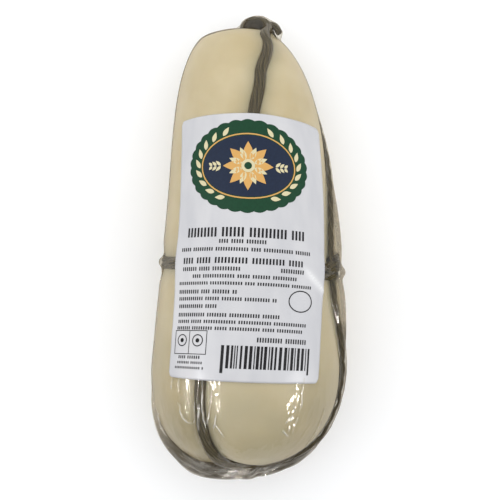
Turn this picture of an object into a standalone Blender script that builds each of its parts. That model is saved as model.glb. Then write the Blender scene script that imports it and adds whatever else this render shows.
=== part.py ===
"""Vacuum-packed provola: a pear-shaped cheese tied in a cord harness, sealed in clear film, with a paper label.

Metres, +Z up. The pack lies on its back. +Y runs from the cheese's round foot to its tied head, +X is its
right side, and the label looks up. A place on the cheese is given by its distance along the surface from the
foot (reach) and by its angle round the long axis (angle), which is 0 at the front and 90 degrees at the right.
"""

import math

import bmesh
import bpy
import numpy as np

# The bare cheese
LENGTH = 0.1878
HALF_WIDTH = 0.0403
DEPTH_RATIO = 0.91
FOOT_SHARE = 0.24
HEAD_SHARE = 0.35
FOOT_ROUNDNESS = 2.5
HEAD_ROUNDNESS = 3.1
TAPER = 0.44
TAPER_START = 0.22
TAPER_POWER = 1.25
BEND = 0.0020
BEND_PEAK = 0.56
BEND_FOOT_SPAN = 0.42
BEND_HEAD_SPAN = 0.27
HEAD_TIE_SHIFT = (0.0108, -0.0030)
FOOT_TIE_SHIFT = (0.0030, -0.0010)
TIE_SHIFT_REACH = 0.019
REST_DEPTH = 0.0011
PRESSED_HEIGHT = 0.007

# The cord harness: two loops from head to foot and a girdle
CORD_RADIUS = 0.0022
CORD_LIFT = -0.0013
PRESSED_LIFT = -0.00235
RIGHT_PROUD = 0.0010
PROUD_SHARES = (0.01, 0.06, 0.50, 0.80)
POLE_RISE = 0.0014
POLE_REACH = 0.005
GIRDLE_SHARE = 0.450
GIRDLE_TILT = 0.0022
GIRDLE_RISE = 0.0005
GIRDLE_RISE_REACH = 0.005
VALLEY_DEPTH = 0.0013
FOOT_VALLEY_DEPTH = 0.0030
FOOT_VALLEY_SHARE = 0.30
VALLEY_WIDTH = 0.0068
SIDE_KNOT = (0.0066, 0.0043, 0.0026)
SIDE_KNOT_RISE = 0.0008
RIGHT_KNOT_SHIFT = 0.0022
RIGHT_KNOT_ASIDE = 0.0018
HEAD_KNOT = (0.0045, 0.0062, 0.0033)
HEAD_KNOT_RISE = 0.0021
HEAD_KNOT_SHIFT = -0.0030
TAIL_START = 0.005
TAIL_END = 0.0175
TAIL_RISE = 0.0020

# The lines from the foot to the head, in degrees: where each starts, and its turns as (turn, from share, to share)
FRONT_START = -30.0
FRONT_TURNS = ((38.0, 0.12, 0.92), (12.0, 0.82, 0.95), (24.0, 0.92, 0.985), (-12.0, 0.985, 1.0))
RIGHT_START = 92.0
RIGHT_TURNS = ((-26.5, 0.14, 0.42), (42.0, 0.46, 0.90))
BACK_START = 172.0
BACK_TURNS = ((14.0, 0.10, 0.90),)
LEFT_START = 256.0
SEAM_LEFT = -88.0
SEAM_BEHIND_CORD = 17.0
SEAM_POLE_TURN = 26.0
SEAM_TURNS = ((-SEAM_POLE_TURN, 0.0, 0.04), (SEAM_POLE_TURN, 0.96, 1.0))

# The gaps beside the cord
CLEARANCE = 0.00045
POLE_CLEARANCE = 0.0008
POLE_CLEARANCE_REACH = 0.012
KNOT_CLEARANCE = 0.0012
BED_SLOPE = 1.2

# The film: a front and a back web, sealed to each other round the pack
SKIN_GAP = 0.0003
FILM = 0.0004
TENT_START = 0.0019
TENT_FOOT = 0.0050
SEAM_GAP = 0.0005
FIN_LEFT = 0.0006
FIN_RIGHT = 0.0021
FIN_HEAD_REACH = 0.060
FIN_FOOT = 0.0060
FIN_FOOT_REACH = 0.060
FIN_FOOT_POWER = 0.7
FIN_POLE = 0.0020
FIN_POLE_REACH = 0.009
CRINKLE = 0.0005
CRINKLE_LENGTH = 0.013
FINE_CRINKLE = 0.6
FINE_CRINKLE_LENGTH = 0.016
REST_CLAMP = 0.00005
REST_LEVEL = REST_CLAMP - SKIN_GAP - FILM

# The paper label
LABEL_WIDTH = 0.0674
LABEL_HEIGHT = 0.1103
LABEL_CORNER = 0.0020
LABEL_FOOT_SHARE = 0.2036
LABEL_TILT = -2.2
LABEL_DROOP = 1.33
LABEL_LIFT = 0.0012
LABEL_BRIDGE = 0.0090
PAPER = 0.00035

# The grid that the cheese and the film are lofted on, closest beside the cords
BESIDE_CORD = (0.0016, 0.0029, 0.0055)
FOOT_ROWS = (0.0, 0.0022, 0.0050, 0.0090, 0.0140, 0.0200, 0.0270, 0.0350, 0.0440, 0.0540, 0.0650, 0.0770, 0.0890)
HEAD_ROWS = (0.0, 0.0024, 0.0052, 0.0085, 0.0125, 0.0170, 0.0220, 0.0280, 0.0350, 0.0440, 0.0550, 0.0680, 0.0820,
             0.0970)
WIDE_GAP_COLUMNS = 3
BESIDE_ROOM = 0.8
TABLE_STEPS = 400


def smooth(value):
    """0 below 0, 1 above 1, with a smooth rise between."""
    t = np.clip(value, 0.0, 1.0)
    return t * t * (3.0 - 2.0 * t)


def unit(vector):
    return vector / np.linalg.norm(vector)


def meridian_table():
    """(reach, share of the length, share of the half width) from the foot to the head, by finely spaced steps."""
    turn = np.linspace(0.0, math.pi / 2, TABLE_STEPS)
    foot_power = 2.0 / FOOT_ROUNDNESS
    head_power = 2.0 / HEAD_ROUNDNESS
    foot = FOOT_SHARE * (1.0 - np.sin(turn[::-1]) ** foot_power)
    body = np.linspace(FOOT_SHARE, 1.0 - HEAD_SHARE, TABLE_STEPS)
    head = 1.0 - HEAD_SHARE + HEAD_SHARE * np.sin(turn) ** head_power
    along = np.concatenate([foot, body[1:-1], head])
    cap = np.concatenate([np.cos(turn[::-1]) ** foot_power, np.ones(TABLE_STEPS - 2), np.cos(turn) ** head_power])
    cap[0] = cap[-1] = 0.0
    across = cap * (1.0 - TAPER * np.maximum(0.0, along - TAPER_START) ** TAPER_POWER)
    steps = np.hypot(LENGTH * np.diff(along), HALF_WIDTH * np.diff(across))
    return np.concatenate([[0.0], np.cumsum(steps)]), along, across


REACHES, ALONG, ACROSS = meridian_table()
FULL_REACH = REACHES[-1]


def share_at(reach):
    return np.interp(reach, REACHES, ALONG)


def reach_of(share):
    return np.interp(share, ALONG, REACHES)


def half_width(reach):
    return HALF_WIDTH * np.interp(reach, REACHES, ACROSS)


def axis_height(share):
    """Height of a section's centre over the lowest line of the untouched cheese."""
    return HALF_WIDTH * DEPTH_RATIO * (1.0 - TAPER * max(0.0, share - TAPER_START) ** TAPER_POWER) - REST_DEPTH


def surface(reach, angle):
    """The point of the cheese's plain surface, without what the cord presses in, at this reach and angle."""
    share = share_at(reach)
    width = half_width(reach)
    span = BEND_FOOT_SPAN if share < BEND_PEAK else BEND_HEAD_SPAN
    centre_x = BEND * (1.0 - ((share - BEND_PEAK) / span) ** 2)
    centre_z = axis_height(share)
    near_head = smooth(1.0 - (FULL_REACH - reach) / TIE_SHIFT_REACH)
    near_foot = smooth(1.0 - reach / TIE_SHIFT_REACH)
    centre_x += HEAD_TIE_SHIFT[0] * near_head + FOOT_TIE_SHIFT[0] * near_foot
    centre_z += HEAD_TIE_SHIFT[1] * near_head + FOOT_TIE_SHIFT[1] * near_foot
    x = centre_x + width * math.sin(angle)
    z = centre_z + width * DEPTH_RATIO * math.cos(angle)
    return np.array([x, share * LENGTH, max(z, 0.0)])


def outward(reach, angle):
    """The surface's outward direction."""
    if reach <= 0.0 or reach >= FULL_REACH:
        return np.array([0.0, -1.0 if reach <= 0.0 else 1.0, 0.0])
    step = min(0.0005, 0.5 * reach, 0.5 * (FULL_REACH - reach))
    turn = 0.01
    up = surface(reach + step, angle) - surface(reach - step, angle)
    round_axis = surface(reach, angle + turn) - surface(reach, angle - turn)
    return unit(np.cross(round_axis, up))


def pressed(point):
    """1 where the pack's weight flattens the underside, 0 higher up."""
    return 1.0 - smooth(point[2] / PRESSED_HEIGHT)


class AngleLine:
    """A line from the foot to the head: the angle where it starts, and how it turns along the length."""

    def __init__(self, start, turns=()):
        self.start = start
        self.turns = turns

    def angle(self, share):
        turned = sum(turn * smooth((share - low) / (high - low)) for turn, low, high in self.turns)
        return math.radians(self.start + turned)


LEFT_SEAM = AngleLine(SEAM_LEFT + SEAM_POLE_TURN, SEAM_TURNS)
FRONT_CORD = AngleLine(FRONT_START, FRONT_TURNS)
RIGHT_CORD = AngleLine(RIGHT_START, RIGHT_TURNS)
RIGHT_SEAM = AngleLine(RIGHT_START + SEAM_BEHIND_CORD + SEAM_POLE_TURN, RIGHT_TURNS + SEAM_TURNS)
BACK_CORD = AngleLine(BACK_START, BACK_TURNS)
LEFT_CORD = AngleLine(LEFT_START)
LEFT_SEAM_AGAIN = AngleLine(SEAM_LEFT + SEAM_POLE_TURN + 360.0, SEAM_TURNS)
LINES = (LEFT_SEAM, FRONT_CORD, RIGHT_CORD, RIGHT_SEAM, BACK_CORD, LEFT_CORD, LEFT_SEAM_AGAIN)
CORDS = (FRONT_CORD, RIGHT_CORD, BACK_CORD, LEFT_CORD)
SEAMS_BEHIND_CORDS = (RIGHT_SEAM, LEFT_SEAM_AGAIN)


def panel_columns(line, following, share, radius):
    """The angles of the columns from one line up to the next, which is left out: close beside a cord, then even."""
    start = line.angle(share)
    gap = following.angle(share) - start
    cords = (line in CORDS) + (following in CORDS)
    widest = BESIDE_CORD[-1] / radius
    squeeze = min(1.0, gap * BESIDE_ROOM / cords / widest)
    beside = [offset / radius * squeeze for offset in BESIDE_CORD]
    row = [0.0] + (beside if line in CORDS else [])
    tail = [gap - offset for offset in reversed(beside)] if following in CORDS else []
    fills = 0 if following in SEAMS_BEHIND_CORDS else WIDE_GAP_COLUMNS
    first = row[-1]
    end = tail[0] if tail else gap
    row += [first + (end - first) * (k + 1) / (fills + 1) for k in range(fills)]
    return [start + value for value in row + tail]


def columns_at(reach):
    """The angles of the grid's columns at this reach, and where each of LINES stands among them."""
    share = share_at(reach)
    radius = max(half_width(reach) * (1.0 + DEPTH_RATIO) / 2.0, 1e-6)
    angles = []
    marks = []
    for line, following in zip(LINES, LINES[1:]):
        marks.append(len(angles))
        angles += panel_columns(line, following, share, radius)
    return angles, marks


def girdle_reach(angle):
    return reach_of(GIRDLE_SHARE) - GIRDLE_TILT * math.sin(angle)


def rows_at(angle):
    """The reaches of the grid's rows on this angle: even towards both ends and closest beside the girdle."""
    girdle = girdle_reach(angle)
    margin = BESIDE_CORD[-1]
    level = reach_of(GIRDLE_SHARE)
    below = [reach * (girdle - margin) / (level - margin) for reach in FOOT_ROWS]
    above = [FULL_REACH - reach * (FULL_REACH - girdle - margin) / (FULL_REACH - level - margin) for reach in HEAD_ROWS]
    beside = [girdle - offset for offset in reversed(BESIDE_CORD)] + [girdle]
    beside += [girdle + offset for offset in BESIDE_CORD]
    return below + beside + above[::-1]


GIRDLE_ROW = len(FOOT_ROWS) + len(BESIDE_CORD)


class Grid:
    """The places, points and outward directions of the loft, row by row from the foot to the head."""

    def __init__(self):
        angles, self.marks = columns_at(FULL_REACH / 2)
        self.columns = len(angles)
        self.rows = len(rows_at(0.0))
        self.places = []
        for row in range(self.rows):
            nominal = rows_at(0.0)[row]
            angles = columns_at(nominal)[0]
            reaches = [rows_at(angle)[row] for angle in angles]
            self.places.append([(reach, columns_at(reach)[0][k]) for k, reach in enumerate(reaches)])
        self.points = np.array([[surface(*place) for place in row] for row in self.places])
        self.normals = np.array([[outward(*place) for place in row] for row in self.places])

    def column(self, line):
        return self.marks[LINES.index(line)]


class Route:
    """A stretch of cord: points on the plain surface, their outward directions and the cord's height over them."""

    def __init__(self, points, normals, lifts, closed=True):
        self.points = np.array(points)
        self.normals = np.array(normals)
        self.lifts = np.array(lifts)
        self.closed = closed

    def centres(self):
        return self.points + self.normals * self.lifts[:, None]

    def nearest(self, point):
        """The distance of a surface point from the route, and the cord's height there."""
        ends = np.roll(self.points, -1, axis=0)
        lifts = np.roll(self.lifts, -1)
        count = len(self.points) if self.closed else len(self.points) - 1
        starts = self.points[:count]
        spans = ends[:count] - starts
        along = np.clip(((point - starts) * spans).sum(axis=1) / (spans * spans).sum(axis=1), 0.0, 1.0)
        distances = np.linalg.norm(starts + spans * along[:, None] - point, axis=1)
        best = int(np.argmin(distances))
        lift = self.lifts[best] + (lifts[best] - self.lifts[best]) * along[best]
        return distances[best], lift


class Knot:
    """A lump of wound cord: half sizes along, across and out of the surface, round a centre on a cord."""

    def __init__(self, point, normal, along, sizes, rise):
        self.normal = normal
        self.across = unit(np.cross(normal, along))
        self.along = unit(np.cross(self.across, normal))
        self.sizes = sizes
        self.height = rise
        self.foot = point
        self.centre = point + normal * rise

    def dome(self, point, gap):
        """Half the lump's thickness over a surface point, with a gap all round, or 0 beside it."""
        offset = point - self.foot
        along = offset @ self.along / (self.sizes[0] + gap)
        across = offset @ self.across / (self.sizes[1] + gap)
        if offset @ self.normal < -2.0 * max(self.sizes):
            return 0.0
        return (self.sizes[2] + gap) * math.sqrt(max(0.0, 1.0 - along**2 - across**2))


FOOT_POLE = surface(0.0, 0.0)
HEAD_POLE = surface(FULL_REACH, 0.0)


def at_pole(point, spread):
    """1 where the two loops cross at the foot and the head, and 0 well beyond the spread."""
    apart = min(np.linalg.norm(point - pole) for pole in (FOOT_POLE, HEAD_POLE))
    return math.exp(-((apart / spread) ** 2))


def clearance(point):
    """The gap between the cord and what lies against it."""
    return CLEARANCE + POLE_CLEARANCE * at_pole(point, POLE_CLEARANCE_REACH)


def cord_lift(point):
    return CORD_LIFT + (PRESSED_LIFT - CORD_LIFT) * pressed(point)


def pole_to_pole(grid, first, second, rise, proud=0.0):
    """A closed loop up one of the grid's columns and down another, raised where it crosses at the two ends.

    The first column's run stands proud of its bed between the shares that are given.
    """
    up = [(row, grid.column(first)) for row in range(grid.rows)]
    down = [(row, grid.column(second)) for row in range(grid.rows - 2, 0, -1)]
    points = [grid.points[place] for place in up + down]
    normals = [grid.normals[place] for place in up + down]
    start, full, fall, end = PROUD_SHARES
    lifts = []
    for k, point in enumerate(points):
        share = point[1] / LENGTH
        slack = proud * smooth((share - start) / (full - start)) * smooth((end - share) / (end - fall))
        slack = slack if k < len(up) else 0.0
        lifts.append(cord_lift(point) + slack + rise * at_pole(point, POLE_REACH))
    return Route(points, normals, lifts)


def girdle_route(grid):
    points = grid.points[GIRDLE_ROW]
    crossings = [points[grid.column(line)] for line in CORDS]
    lifts = []
    for point in points:
        apart = min(np.linalg.norm(point - crossing) for crossing in crossings)
        free = 1.0 - pressed(point)
        lifts.append(cord_lift(point) + GIRDLE_RISE * free * math.exp(-((apart / GIRDLE_RISE_REACH) ** 2)))
    return Route(points, grid.normals[GIRDLE_ROW], lifts)


def tail_route(grid):
    """The cut end of the cord, which lies on the right loop beside the head knot."""
    column = grid.column(RIGHT_CORD)
    rows = [row for row in range(grid.rows) if TAIL_START < FULL_REACH - grid.places[row][column][0] < TAIL_END]
    points = [grid.points[row, column] for row in rows]
    normals = [grid.normals[row, column] for row in rows]
    return Route(points, normals, [CORD_LIFT + TAIL_RISE] * len(rows), closed=False)


def side_knot(grid, line, shift=0.0, aside=0.0):
    """The knot where the girdle crosses a line, its middle this far towards the head and this far to the back."""
    column = grid.column(line)
    along = unit(grid.points[GIRDLE_ROW + 1, column] - grid.points[GIRDLE_ROW - 1, column])
    normal = grid.normals[GIRDLE_ROW, column]
    backward = unit(np.cross(along, normal))
    point = grid.points[GIRDLE_ROW, column] + along * shift + backward * aside
    proud = RIGHT_PROUD / 2.0 if line is RIGHT_CORD else 0.0
    return Knot(point, normal, along, SIDE_KNOT, CORD_LIFT + proud + SIDE_KNOT_RISE)


def head_knot(grid):
    """The knot on the head's end, a little to the left of the place where the loops cross."""
    point = grid.points[-1, 0] + np.array([HEAD_KNOT_SHIFT, 0.0, 0.0])
    rise = CORD_LIFT + HEAD_KNOT_RISE
    return Knot(point, np.array([0.0, 1.0, 0.0]), np.array([0.0, 0.0, 1.0]), HEAD_KNOT, rise)


def valley(point, routes):
    """How far the cheese sinks in the wide valley beside a cord, as a height below the plain surface."""
    near = min(route.nearest(point)[0] for route in routes if route.closed)
    foot = smooth(1.0 - point[1] / (FOOT_VALLEY_SHARE * LENGTH))
    depth = VALLEY_DEPTH + (FOOT_VALLEY_DEPTH - VALLEY_DEPTH) * foot
    return -depth * (1.0 - pressed(point)) * math.exp(-((near / VALLEY_WIDTH) ** 2))


def cheese_height(point, routes, knots):
    """The cheese's height over its plain surface: the valley, and the bed that the cord has pressed in it."""
    height = valley(point, routes)
    gap = clearance(point)
    for route in routes:
        apart, lift = route.nearest(point)
        bed = CORD_RADIUS + gap
        if apart < bed:
            height = min(height, lift - math.sqrt(bed**2 - apart**2))
        else:
            height = min(height, lift + BED_SLOPE * (apart - bed))
    for knot in knots:
        dome = knot.dome(point, gap)
        if dome > 0.0:
            height = min(height, knot.height - dome)
    return height


def film_height(point, routes, knots):
    """The film's inner height over the plain surface: on the cheese, and stretched over cords and knots."""
    skin = valley(point, routes) + SKIN_GAP
    height = skin
    round_cord = CORD_RADIUS + clearance(point)
    for route in routes:
        apart, lift = route.nearest(point)
        if apart < TENT_START:
            height = max(height, lift + math.sqrt(round_cord**2 - apart**2))
        elif apart < TENT_FOOT:
            edge = lift + math.sqrt(round_cord**2 - TENT_START**2)
            fall = ((TENT_FOOT - apart) / (TENT_FOOT - TENT_START)) ** 2
            height = max(height, skin + (edge - skin) * fall)
    for knot in knots:
        dome = knot.dome(point, KNOT_CLEARANCE)
        if dome > 0.0:
            height = max(height, knot.height + dome)
    return height


def mesh_object(name, points, faces, collection):
    mesh = bpy.data.meshes.new(name)
    mesh.from_pydata([tuple(point) for point in points], [], faces)
    mesh.validate()
    obj = bpy.data.objects.new(name, mesh)
    collection.objects.link(obj)
    return obj


def shade_round(obj, angle=50.0):
    obj.data.shade_smooth()
    obj.data.set_sharp_from_angle(angle=math.radians(angle))


def make_cheese(grid, routes, knots, collection):
    """A closed loft: rings of the grid between a point at the foot and a point at the head."""
    points = []
    for row in range(grid.rows):
        for column in range(grid.columns):
            point = grid.points[row, column]
            points.append(point + grid.normals[row, column] * cheese_height(point, routes, knots))
            if row in (0, grid.rows - 1):
                break
    head = len(points) - 1
    faces = []
    for column in range(grid.columns):
        following = (column + 1) % grid.columns
        faces.append((0, 1 + following, 1 + column))
        for row in range(grid.rows - 3):
            low = 1 + row * grid.columns
            high = low + grid.columns
            faces.append((low + column, low + following, high + following, high + column))
        last = 1 + (grid.rows - 3) * grid.columns
        faces.append((last + column, last + following, head))
    obj = mesh_object("cheese", points, faces, collection)
    shade_round(obj)
    return obj


def fin_width(reach):
    """The fin's width at a reach, which is negative on the pack's left: broadest beside the foot."""
    widening = smooth((FULL_REACH - reach) / FIN_HEAD_REACH) if reach > 0.0 else 0.0
    side = FIN_LEFT + (FIN_RIGHT - FIN_LEFT) * widening
    toward_foot = smooth(1.0 - abs(reach) / FIN_FOOT_REACH) ** FIN_FOOT_POWER
    pole = (FIN_POLE - FIN_FOOT) * math.exp(-((reach / FIN_POLE_REACH) ** 2))
    return side + (FIN_FOOT - side) * toward_foot + pole


def fin_sway(reach):
    """How far the fin's edge is crinkled out of its plane."""
    turn = 2.0 * math.pi * reach
    wave = math.sin(turn / CRINKLE_LENGTH) + FINE_CRINKLE * math.sin(turn / FINE_CRINKLE_LENGTH + 1.0)
    return CRINKLE * smooth(fin_width(reach) / FIN_FOOT) * wave


def press_flat(obj):
    """Applies the film's thickness and presses what the pack rests on to one exact level."""
    graph = bpy.context.evaluated_depsgraph_get()
    walls = bpy.data.meshes.new_from_object(obj.evaluated_get(graph))
    for vertex in walls.vertices:
        vertex.co.z = max(vertex.co.z, REST_LEVEL)
    obj.modifiers.clear()
    obj.data = walls


def make_web(name, grid, lines, routes, knots, collection):
    """One web of film: the part of the grid between two seams, with a crinkled fin along each of them."""
    first, last = (grid.column(line) if line in LINES[:-1] else grid.columns for line in lines)
    columns = range(first, last + 1)
    rows = range(1, grid.rows - 1)
    spots = [(0, 0), (grid.rows - 1, 0)] + [(row, column % grid.columns) for row in rows for column in columns]
    index = {(row, column): 2 + k for k, (row, column) in enumerate((row, column) for row in rows for column in columns)}
    points = [grid.points[spot] for spot in spots]
    normals = [grid.normals[spot] for spot in spots]
    places = [point + normal * film_height(point, routes, knots) for point, normal in zip(points, normals)]
    faces = []
    for column in columns[:-1]:
        faces.append((0, index[1, column + 1], index[1, column]))
        for row in rows[:-1]:
            lower = (index[row, column], index[row, column + 1])
            faces.append((*lower, index[row + 1, column + 1], index[row + 1, column]))
        faces.append((index[rows[-1], column], index[rows[-1], column + 1], 1))

    on_right = -1.0 if lines[0] is RIGHT_SEAM else 1.0
    up = [(index[row, last], on_right * grid.places[row][last % grid.columns][0]) for row in rows]
    down = [(index[row, first], -on_right * grid.places[row][first][0]) for row in reversed(rows)]
    loop = [(0, 0.0)] + up + [(1, FULL_REACH)] + down
    first_tip = len(places)
    for k, (vertex, reach) in enumerate(loop):
        along = unit(points[loop[(k + 1) % len(loop)][0]] - points[loop[k - 1][0]])
        aside = unit(np.cross(normals[vertex], along))
        places[vertex] = places[vertex] + aside * SEAM_GAP / 2
        sway = aside * on_right * fin_sway(reach)
        places.append(places[vertex] + normals[vertex] * fin_width(reach) + sway)
    for k in range(len(loop)):
        following = (k + 1) % len(loop)
        faces.append((loop[following][0], loop[k][0], first_tip + k, first_tip + following))

    obj = mesh_object(name, places, faces, collection)
    wall = obj.modifiers.new("Film thickness", "SOLIDIFY")
    wall.thickness = FILM
    wall.offset = 1.0
    wall.use_even_offset = True
    wall.use_quality_normals = True
    wall.thickness_clamp = 1.5
    press_flat(obj)
    shade_round(obj)
    return obj


def make_tube(name, route, collection):
    """A round cord along a route, as a mesh."""
    curve = bpy.data.curves.new(name, "CURVE")
    curve.dimensions = "3D"
    curve.bevel_depth = CORD_RADIUS
    curve.bevel_resolution = 2
    curve.use_fill_caps = not route.closed
    centres = route.centres()
    spline = curve.splines.new("POLY")
    spline.points.add(len(centres) - 1)
    for point, centre in zip(spline.points, centres):
        point.co = (*centre, 1.0)
    spline.use_cyclic_u = route.closed
    guide = bpy.data.objects.new(name + "_guide", curve)
    collection.objects.link(guide)
    graph = bpy.context.evaluated_depsgraph_get()
    mesh = bpy.data.meshes.new_from_object(guide.evaluated_get(graph))
    work = bmesh.new()
    work.from_mesh(mesh)
    bmesh.ops.remove_doubles(work, verts=work.verts, dist=0.00001)
    bmesh.ops.recalc_face_normals(work, faces=work.faces)
    work.to_mesh(mesh)
    work.free()
    bpy.data.objects.remove(guide)
    tube = bpy.data.objects.new(name, mesh)
    collection.objects.link(tube)
    return tube


def make_knot(name, knot, collection):
    """The lump of a knot: a ball stretched to the knot's half sizes."""
    mesh = bpy.data.meshes.new(name)
    work = bmesh.new()
    bmesh.ops.create_uvsphere(work, u_segments=12, v_segments=8, radius=1.0)
    for vertex in work.verts:
        x, y, z = vertex.co
        place = knot.along * (x * knot.sizes[0]) + knot.across * (y * knot.sizes[1]) + knot.normal * (z * knot.sizes[2])
        vertex.co = knot.centre + place
    bmesh.ops.recalc_face_normals(work, faces=work.faces)
    work.to_mesh(mesh)
    work.free()
    obj = bpy.data.objects.new(name, mesh)
    collection.objects.link(obj)
    return obj


def make_cord(routes, knots, collection):
    """The harness as one piece: its loops, girdle, knots and cut end joined."""
    pieces = bpy.data.collections.new("cord_pieces")
    bpy.context.scene.collection.children.link(pieces)
    cord = make_tube("cord", routes[0], collection)
    for k, route in enumerate(routes[1:]):
        make_tube(f"cord_piece_{k}", route, pieces)
    for k, knot in enumerate(knots):
        make_knot(f"knot_piece_{k}", knot, pieces)
    join = cord.modifiers.new("Join", "BOOLEAN")
    join.operation = "UNION"
    join.operand_type = "COLLECTION"
    join.collection = pieces
    join.solver = "EXACT"
    graph = bpy.context.evaluated_depsgraph_get()
    joined = bpy.data.meshes.new_from_object(cord.evaluated_get(graph))
    cord.modifiers.remove(join)
    cord.data = joined
    for piece in list(pieces.objects):
        bpy.data.objects.remove(piece)
    bpy.data.collections.remove(pieces)
    shade_round(cord)
    return cord


def arc_to_angle(reach, arc):
    """The angle that lies this far round the section from the front, along the surface."""
    width = half_width(reach)
    angles = np.linspace(0.0, math.pi, TABLE_STEPS)
    middles = (angles[1:] + angles[:-1]) / 2.0
    steps = np.hypot(width * np.cos(middles), width * DEPTH_RATIO * np.sin(middles)) * np.diff(angles)
    arcs = np.concatenate([[0.0], np.cumsum(steps)])
    return math.copysign(float(np.interp(abs(arc), arcs, angles)), arc)


def label_place(x, y):
    """The place on the cheese under a point of the flat label, x to its right and y up from its middle."""
    tilt = math.radians(LABEL_TILT)
    across = x * math.cos(tilt) - y * math.sin(tilt)
    middle = reach_of(LABEL_FOOT_SHARE) + LABEL_HEIGHT / 2.0
    reach = middle + x * math.sin(tilt) + y * math.cos(tilt)
    step = 0.001
    narrowing = (half_width(reach - step) - half_width(reach + step)) / (2.0 * step * half_width(reach))
    reach -= LABEL_DROOP * max(0.0, narrowing) * across**2 / 2.0
    return reach, arc_to_angle(reach, across)


CORNER_MIDDLE = 1.0 - math.sqrt(0.5)


def label_columns(y):
    """The label's columns at a height on it: from the left edge to the cord below, and on to the right edge."""
    reach, _ = label_place(0.0, y)
    angle = FRONT_CORD.angle(share_at(reach))
    edge = LABEL_WIDTH / 2.0
    low, high = -edge, edge
    for _ in range(20):
        middle = (low + high) / 2.0
        if label_place(middle, y)[1] < angle:
            low = middle
        else:
            high = middle
    crossing = (low + high) / 2.0
    beside = BESIDE_CORD[1]
    corner = [0.0, CORNER_MIDDLE * LABEL_CORNER, LABEL_CORNER]
    left = [-edge + offset for offset in corner]
    right = [edge - offset for offset in reversed(corner)]
    left_fill = np.linspace(left[-1], crossing - beside, 5)[1:-1]
    right_fill = np.linspace(crossing + beside, right[0], 6)[1:-1]
    return left + list(left_fill) + [crossing - beside, crossing, crossing + beside] + list(right_fill) + right


def label_rows(trim):
    """The label's rows, closest beside the girdle below it, ending short of its corners by trim."""
    edge = LABEL_HEIGHT / 2.0 - trim
    middle = reach_of(LABEL_FOOT_SHARE) + LABEL_HEIGHT / 2.0
    girdle = reach_of(GIRDLE_SHARE) - middle
    beside = BESIDE_CORD[1]
    below = list(np.linspace(-edge, girdle - beside, 7))
    above = list(np.linspace(girdle + beside, edge, 8))
    return below + [girdle] + above


def make_label(routes, knots, collection):
    """A rounded rectangle of paper that lies on the film and bridges the cords below it."""
    levels = label_rows(0.0)
    count = len(label_columns(0.0))
    corner = [LABEL_CORNER, CORNER_MIDDLE * LABEL_CORNER]
    trims = corner + [0.0] * (count - 2 * len(corner)) + corner[::-1]
    points = []
    for row in range(len(levels)):
        columns = label_columns(levels[row])
        for k in range(count):
            y = label_rows(trims[k])[row]
            place = label_place(columns[k], y)
            point = surface(*place)
            height = LABEL_LIFT
            for route in routes:
                apart, lift = route.nearest(point)
                crest = lift + CORD_RADIUS + CLEARANCE + FILM + 2.0 * SKIN_GAP
                height = max(height, LABEL_LIFT + (crest - LABEL_LIFT) * math.exp(-((apart / LABEL_BRIDGE) ** 2)))
            points.append(point + outward(*place) * height)
    faces = []
    for row in range(len(levels) - 1):
        for k in range(count - 1):
            low = row * count + k
            faces.append((low, low + 1, low + 1 + count, low + count))
    obj = mesh_object("label", points, faces, collection)
    sheet = obj.modifiers.new("Paper thickness", "SOLIDIFY")
    sheet.thickness = PAPER
    sheet.offset = 1.0
    sheet.use_even_offset = True
    shade_round(obj)
    return obj


def finish(obj, name, colour, roughness, alpha=1.0):
    """A plain dielectric material in the piece's own colour."""
    material = bpy.data.materials.new(name)
    material.use_nodes = True
    shader = material.node_tree.nodes["Principled BSDF"]
    shader.inputs["Base Color"].default_value = (*colour, 1.0)
    shader.inputs["Roughness"].default_value = roughness
    shader.inputs["Metallic"].default_value = 0.0
    shader.inputs["Alpha"].default_value = alpha
    obj.data.materials.clear()
    obj.data.materials.append(material)


def set_down(objects, collection):
    """Hangs all pieces on one empty and moves it so that the pack stands centred on the ground."""
    bpy.context.view_layer.update()
    graph = bpy.context.evaluated_depsgraph_get()
    corners = []
    for obj in objects:
        mesh = obj.evaluated_get(graph).to_mesh()
        places = np.empty(len(mesh.vertices) * 3, np.float32)
        mesh.vertices.foreach_get("co", places)
        corners.append(places.reshape(-1, 3))
        obj.evaluated_get(graph).to_mesh_clear()
    corners = np.concatenate(corners)
    low, high = corners.min(axis=0), corners.max(axis=0)
    frame = bpy.data.objects.new("provola", None)
    frame.location = (-(low[0] + high[0]) / 2.0, -(low[1] + high[1]) / 2.0, -low[2])
    collection.objects.link(frame)
    for obj in objects:
        obj.parent = frame


def clear_scene():
    for obj in list(bpy.data.objects):
        bpy.data.objects.remove(obj)


def main():
    clear_scene()
    collection = bpy.data.collections.new("provola_pack")
    bpy.context.scene.collection.children.link(collection)
    grid = Grid()
    routes = [
        pole_to_pole(grid, FRONT_CORD, BACK_CORD, 0.0),
        pole_to_pole(grid, RIGHT_CORD, LEFT_CORD, POLE_RISE, RIGHT_PROUD),
        girdle_route(grid),
        tail_route(grid),
    ]
    right_knot = side_knot(grid, RIGHT_CORD, RIGHT_KNOT_SHIFT, RIGHT_KNOT_ASIDE)
    knots = [right_knot, side_knot(grid, LEFT_CORD), head_knot(grid)]
    cheese = make_cheese(grid, routes, knots, collection)
    finish(cheese, "Stretched-curd cheese", (0.63, 0.52, 0.36), 0.45)
    cord = make_cord(routes, knots, collection)
    finish(cord, "Natural fibre cord", (0.14, 0.12, 0.075), 0.85)
    front = make_web("film_front", grid, (LEFT_SEAM, RIGHT_SEAM), routes, knots, collection)
    back = make_web("film_back", grid, (RIGHT_SEAM, LEFT_SEAM_AGAIN), routes, knots, collection)
    for web in (front, back):
        finish(web, "Clear barrier film", (0.72, 0.70, 0.66), 0.15, alpha=0.3)
    label = make_label(routes, knots, collection)
    finish(label, "White label paper", (0.64, 0.64, 0.68), 0.5)
    set_down([cheese, cord, front, back, label], collection)


main()
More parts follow.
